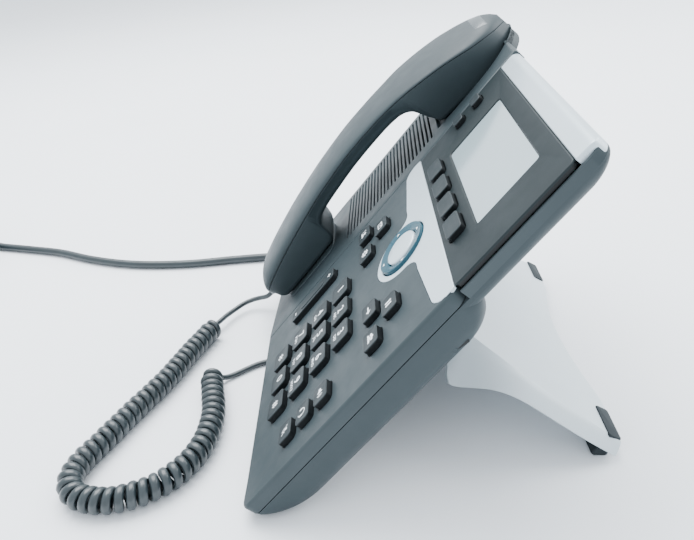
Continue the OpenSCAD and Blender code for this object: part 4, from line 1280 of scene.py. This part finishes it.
def underside(half_w, low, ridge, corner=4.0, steps=7, gap=0.12):
    """The section under the parting line, from one side down and across to the other."""
    h = max(ridge - low, 0.8)
    c, d = min(corner, half_w / 3), min(corner, h / 2)
    inner = half_w - 0.45
    foot = half_w - min(0.32 * h, 8.0, half_w / 3)
    ring = [(-inner, ridge - gap), (-half_w + 0.08, ridge - gap - 0.06), (-half_w, ridge - gap - 0.3)]
    for i in range(steps + 1):
        a = math.pi / 2 * i / steps
        ring.append((-foot + c * (1 - math.cos(a)), low + d * (1 - math.sin(a))))
    for k in range(1, 6):
        ring.append((-(foot - c) * (1 - 2 * k / 6), low))
    ring += [(-x, w) for x, w in ring[:3 + steps + 1][::-1]]
    return ring


def make_handset():
    back, front = Builder(), Builder()
    back_rings, front_rings = [], []
    for v in handset_places():
        low, ridge, top, half_w = monotone(STATIONS, v)
        back_rings.append([(HANDSET_X + x, v, w) for x, w in crown(half_w, ridge, top)])
        front_rings.append([(HANDSET_X + x, v, w) for x, w in underside(half_w, low, ridge)])
    back.rings(back_rings, cap_first=True, cap_last=True)
    front.rings(front_rings, cap_first=True, cap_last=True)
    back.piece("handset_back", [SHELL], "handset", "shell_plastic", ["handset_back_shell"],
               sharp=50)
    front.piece("handset_front", [SHELL], "handset", "shell_plastic", ["handset_front_shell"],
                sharp=50)


def make_message_lamp():
    """The lamp's lens: a patch of the crown near the ear end, a little proud of it."""
    b = Builder()
    down, across, width, rise = 11, 24, 26, 0.35
    grid = []
    for i, v in enumerate(np.linspace(199, 205.5, down + 1)):
        ridge, top, half_w = monotone(STATIONS, float(v))[1:]
        row = []
        for k in range(across + 1):
            x = width * (k / across - 0.5)
            a = math.acos(max(-1, min(1, x / half_w)))
            w = ridge + 0.22 + (top - ridge - 0.2) * math.sin(a) ** 0.8
            edge = min(min(k, across - k) / across, min(i, down - i) / down)
            row.append((HANDSET_X + x, v, w + rise * min(1.0, 3.2 * edge) ** 0.5))
        grid.append(row)

    def border(ids):
        return [*ids[0], *(row[-1] for row in ids[1:]), *ids[-1][-2::-1],
                *(row[0] for row in ids[-2:0:-1])]

    ids = b.rings(grid, closed=False)
    under = [b.add([(x, v, w - 1.6) for x, v, w in row]) for row in grid]
    b.strip(border(ids), border(under))
    b.piece("message_lamp", [LENS_M], "handset", "lamp_lens", ["message_lamp_lens"])


def make_sound_holes():
    """Black discs, flush with the face, for round holes: painted shade inside the holes. In the ear face they lie in
    two circles about a middle one, and three are at the mouth.
    """
    b = Builder()
    holes = [(r * math.cos(TAU * i / n), EAR_V - 3 + r * math.sin(TAU * i / n), 0.9, 0.25)
             for r, n in ((0, 1), (3.6, 6), (7.2, 12)) for i in range(n)]
    holes += [(x, 36, 0.75, 0.2) for x in (-4, 0, 4)]
    for x, v, r, lip in holes:
        w = monotone(STATIONS, v)[0]
        b.turned(HANDSET_X + x, v, ((r + lip, w - 0.02), (r, w - 0.06), (r, w + 0.5)), 14,
                 cap_last=True)
    b.piece("sound_holes", [BLACK], "handset", "speaker_parts")


# ---------------------------------------------------------------- foot stand
STAND_LEN = ((STAND_ROOT_V * UP.z - (CASE_D + 0.5) * NORMAL.z + ORIGIN.z / MM)
             / math.cos(math.acos(NORMAL.z) + STAND_LEAN))
STAND_DOWN = (-NORMAL * math.cos(STAND_LEAN) + UP * math.sin(STAND_LEAN))
STAND_OUT = (UP * math.cos(STAND_LEAN) + NORMAL * math.sin(STAND_LEAN))
STAND_ROOT = on_face(0, STAND_ROOT_V, -CASE_D - 0.5)
STAND_END = STAND_LEN - 10.5
FLANGE_S0 = 25.5                 # where the side flanges are deepest
ARCH_DEPTH, ARCH_HALF, ARCH_R = 9.0, 51.0, 280.0


def on_stand(x, s, t):
    """A place on the stand: x across, s down the plate from its root, t out of its back."""
    return STAND_ROOT + (RIGHT * x + STAND_DOWN * s + STAND_OUT * t) * MM


def stand_half(s):
    return 34 + 0.63 * s - 0.0015 * s * s


def flange_depth(s):
    return 3.2 + 16.5 * math.exp(-((s - FLANGE_S0) / 13) ** 1.5)


def flange_out(s):
    return 10.3 - 0.0021 * (s - 40) ** 2


def stand_end(x):
    """The foot of the plate: an arch between the two feet."""
    if abs(x) >= ARCH_HALF:
        return STAND_END
    rise = math.sqrt(ARCH_R ** 2 - x * x) - math.sqrt(ARCH_R ** 2 - ARCH_HALF ** 2)
    return STAND_END - ARCH_DEPTH * rise / (ARCH_R - math.sqrt(ARCH_R ** 2 - ARCH_HALF ** 2))


def make_stand():
    """One thin moulding: a plate that widens to its feet, with a flange down each side."""
    b = Builder()
    across, down = 40, 46

    def surface(i, k):
        u = -1 + 2 * k / across
        s = i / down * stand_end(stand_half(STAND_END) * u)
        return u * stand_half(s), s

    plan = [[surface(i, k) for k in range(across + 1)] for i in range(down + 1)]
    tops = [b.add(level(row, STAND_T)) for row in plan]
    unders = [b.add(level(row, 0)) for row in plan]
    for i in range(down):
        b.strip(tops[i], tops[i + 1], closed=False)
        b.strip(unders[i + 1], unders[i], closed=False)
    b.strip(tops[0], unders[0], closed=False)
    b.strip(tops[down], unders[down], closed=False)
    for side in (-1, 1):
        rows = []
        for row in plan:
            x, s = row[-1 if side > 0 else 0]
            at = max(s, FLANGE_S0)
            grow = smoothstep((s - FLANGE_S0 + 12) / 12)
            depth, out = flange_depth(at) * grow, flange_out(at) * grow
            bend = [(x + side * out * t ** 0.9, s, STAND_T - (depth + STAND_T) * t ** 1.25)
                    for t in (q / 6 for q in range(7))]
            inner = [(px - side * 1.7 * min(1, out / 3), ps, pt - 1.1) for px, ps, pt in bend[::-1]]
            rows.append(bend + inner)
        ids = b.rings(rows)
        b.face(ids[0])
        b.face(ids[-1][::-1])
    for x in (-20, 0, 20):
        rib = rounded_rect(x, 41.5, 2, 41, 0.6, 3)
        b.rings([level(rib, t) for t in (0.1, -7.6, -8)], cap_last=True)
    for s in (-1, 1):
        hook = rounded_rect(s * 28, -1, 10, 4, 0.8, 3)
        b.rings([level(hook, 0), level(hook, 2.2)], cap_first=True, cap_last=True)
    b.piece("stand_plate", [STAND_M], "base", "stand_plastic", ["foot_stand"], place=on_stand,
            sharp=42)


def make_stand_feet():
    """Rubber feet through the stand's corners, and pads under the front lip."""
    def to_floor(at):
        return -(STAND_ROOT.z / MM + at * STAND_DOWN.z) / STAND_OUT.z

    b = Builder()
    for side in (-1, 1):
        outline = rounded_rect(side * 70, STAND_END - 3, 20.2, 6.8, 1.3, 4)
        b.rings([[(x, at, max(-9.9, to_floor(at) + 0.02)) for x, at in outline],
                 level(outline, STAND_T + 0.3), level(offset(outline, 0.12), STAND_T + 0.55),
                 level(offset(outline, 0.45), STAND_T + 0.68)], cap_first=True, cap_last=True)
    b.piece("stand_caps", [RUBBER], "base", "foot_rubber", ["rubber_feet"], place=on_stand,
            sharp=40)
    b = Builder()
    for x in (-70, 70):
        pad = rounded_rect(x, FRONT.y / MM + 12, 31.8, 10.8, 2.5, 5)
        b.walls(pad, ((0.5, 0), (0, 0.5), (0, 3.3)), cap_first=True, cap_last=True)
    b.piece("front_pads", [RUBBER], "base", "foot_rubber",
            place=lambda x, y, z: Vector((x, y, z)) * MM, sharp=40)


def make_hinge_pins():
    """A short black block for a slot, its black a painted shade inside the slot, with the head of the stand's pin, on
    both sides of the rear cover.
    """
    b = Builder()
    for side in (-1, 1):
        # The slot is a solid black block: painted shade, not a recess.
        slot = rounded_rect(119.2, -19.4, 5.6, 1.5, 0.7, 4)
        b.rings([[(side * x, v, w - 0.25 * (v - 119.2)) for v, w in slot] for x in (97.5, 100)],
                cap_first=True, cap_last=True)
        head = circle(115.6, -18.7, 1.25, 20)
        b.rings([[(side * x, v, w) for v, w in offset(head, d)]
                 for x, d in ((97.5, 0), (100.5, 0), (100.7, 0.25))], kind=1, cap_last=True)
    b.piece("hinge_pins", [BLACK, SHELL], "base", "shell_plastic")


# ---------------------------------------------------------------- carried-over CAD nodes
for carried_node, surface in (("lcd_panel", LCD), ("main_board", BOARD),
                              ("key_membrane", SILICONE), ("loudspeaker", SPEAKER),
                              ("jack_block", JACK), ("cover_screws", STEEL),
                              ("receiver_capsule", SPEAKER), ("microphone_capsule", SPEAKER),
                              ("hook_plunger", SHELL)):
    dress(carried_node, surface)


def make_contacts():
    """The gilt contacts in the sockets."""
    b = Builder()
    pitch, width = 1.02, 0.4
    profile = ((0, 1.2), (0, 8.4), (-2.4, 8.4), (-2.1, 7.8), (-0.5, 7.4), (-0.35, 1.2))
    for cx, count, high in ((-14, 8, 63.6), (3, 8, 63.6), (18, 4, 62.9), (33, 4, 62.9)):
        for i in range(count):
            x = cx + (i - (count - 1) / 2) * pitch
            b.rings([[(x + dx, high + dv, w - CASE_D) for dv, w in profile]
                     for dx in (-width / 2, width / 2)], cap_first=True, cap_last=True)
    b.piece("socket_contacts", [GOLD], "base", "jack_plastic")


make_front_cover()
make_ear_pocket()
make_bezel()
make_window()
make_top_trim()
make_wing()
make_rear_cover()
make_case_rim()
make_keys()
make_rocker()
make_nav_ring()
make_select_key()
make_handset()
make_message_lamp()
make_sound_holes()
make_stand()
make_stand_feet()
make_contacts()
make_hinge_pins()


# ---------------------------------------------------------------- stage and light
def soft_light(name, place, aim, size, power, colour):
    data = bpy.data.lights.new(name, "AREA")
    data.shape = "SQUARE"
    data.size = size
    data.energy = power
    data.color = colour
    light = new_object(name, data)
    light.location = place
    light.rotation_euler = (Vector(aim) - Vector(place)).to_track_quat("-Z", "Y").to_euler()


def make_stage():
    """A plain pale floor under plain soft studio light."""
    mesh = bpy.data.meshes.new("floor")
    r = 4.0
    mesh.from_pydata([(-r, -r, 0), (r, -r, 0), (r, r, 0), (-r, r, 0)], [], [(0, 1, 2, 3)])
    floor = new_object("floor", mesh)
    mesh.materials.append(FLOOR)
    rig.stage(floor)
    world = bpy.data.worlds.new("studio")
    bpy.context.scene.world = world
    world.use_nodes = True
    sky = world.node_tree.nodes["Background"]
    sky.inputs["Color"].default_value = (0.88, 0.945, 1.0, 1)
    sky.inputs["Strength"].default_value = 2.0
    soft_light("top_light", (-0.55, -0.25, 1.15), (0, 0, 0.05), 1.1, 40, (0.95, 0.98, 1.0))
    soft_light("back_light", (-0.5, 1.0, 0.8), (0, 0, 0.1), 0.9, 14, (0.95, 0.98, 1.0))


FLOOR = material("floor_paper", (0.88, 0.90, 0.93), 0.7, grain=(300, 0.01), mottle=(3, 0.01))
make_stage()

visual_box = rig.bounds()
with open("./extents.json", "w") as f:
    json.dump({"cad": [list(c) for c in cad_box], "visual": [list(c) for c in visual_box]}, f)
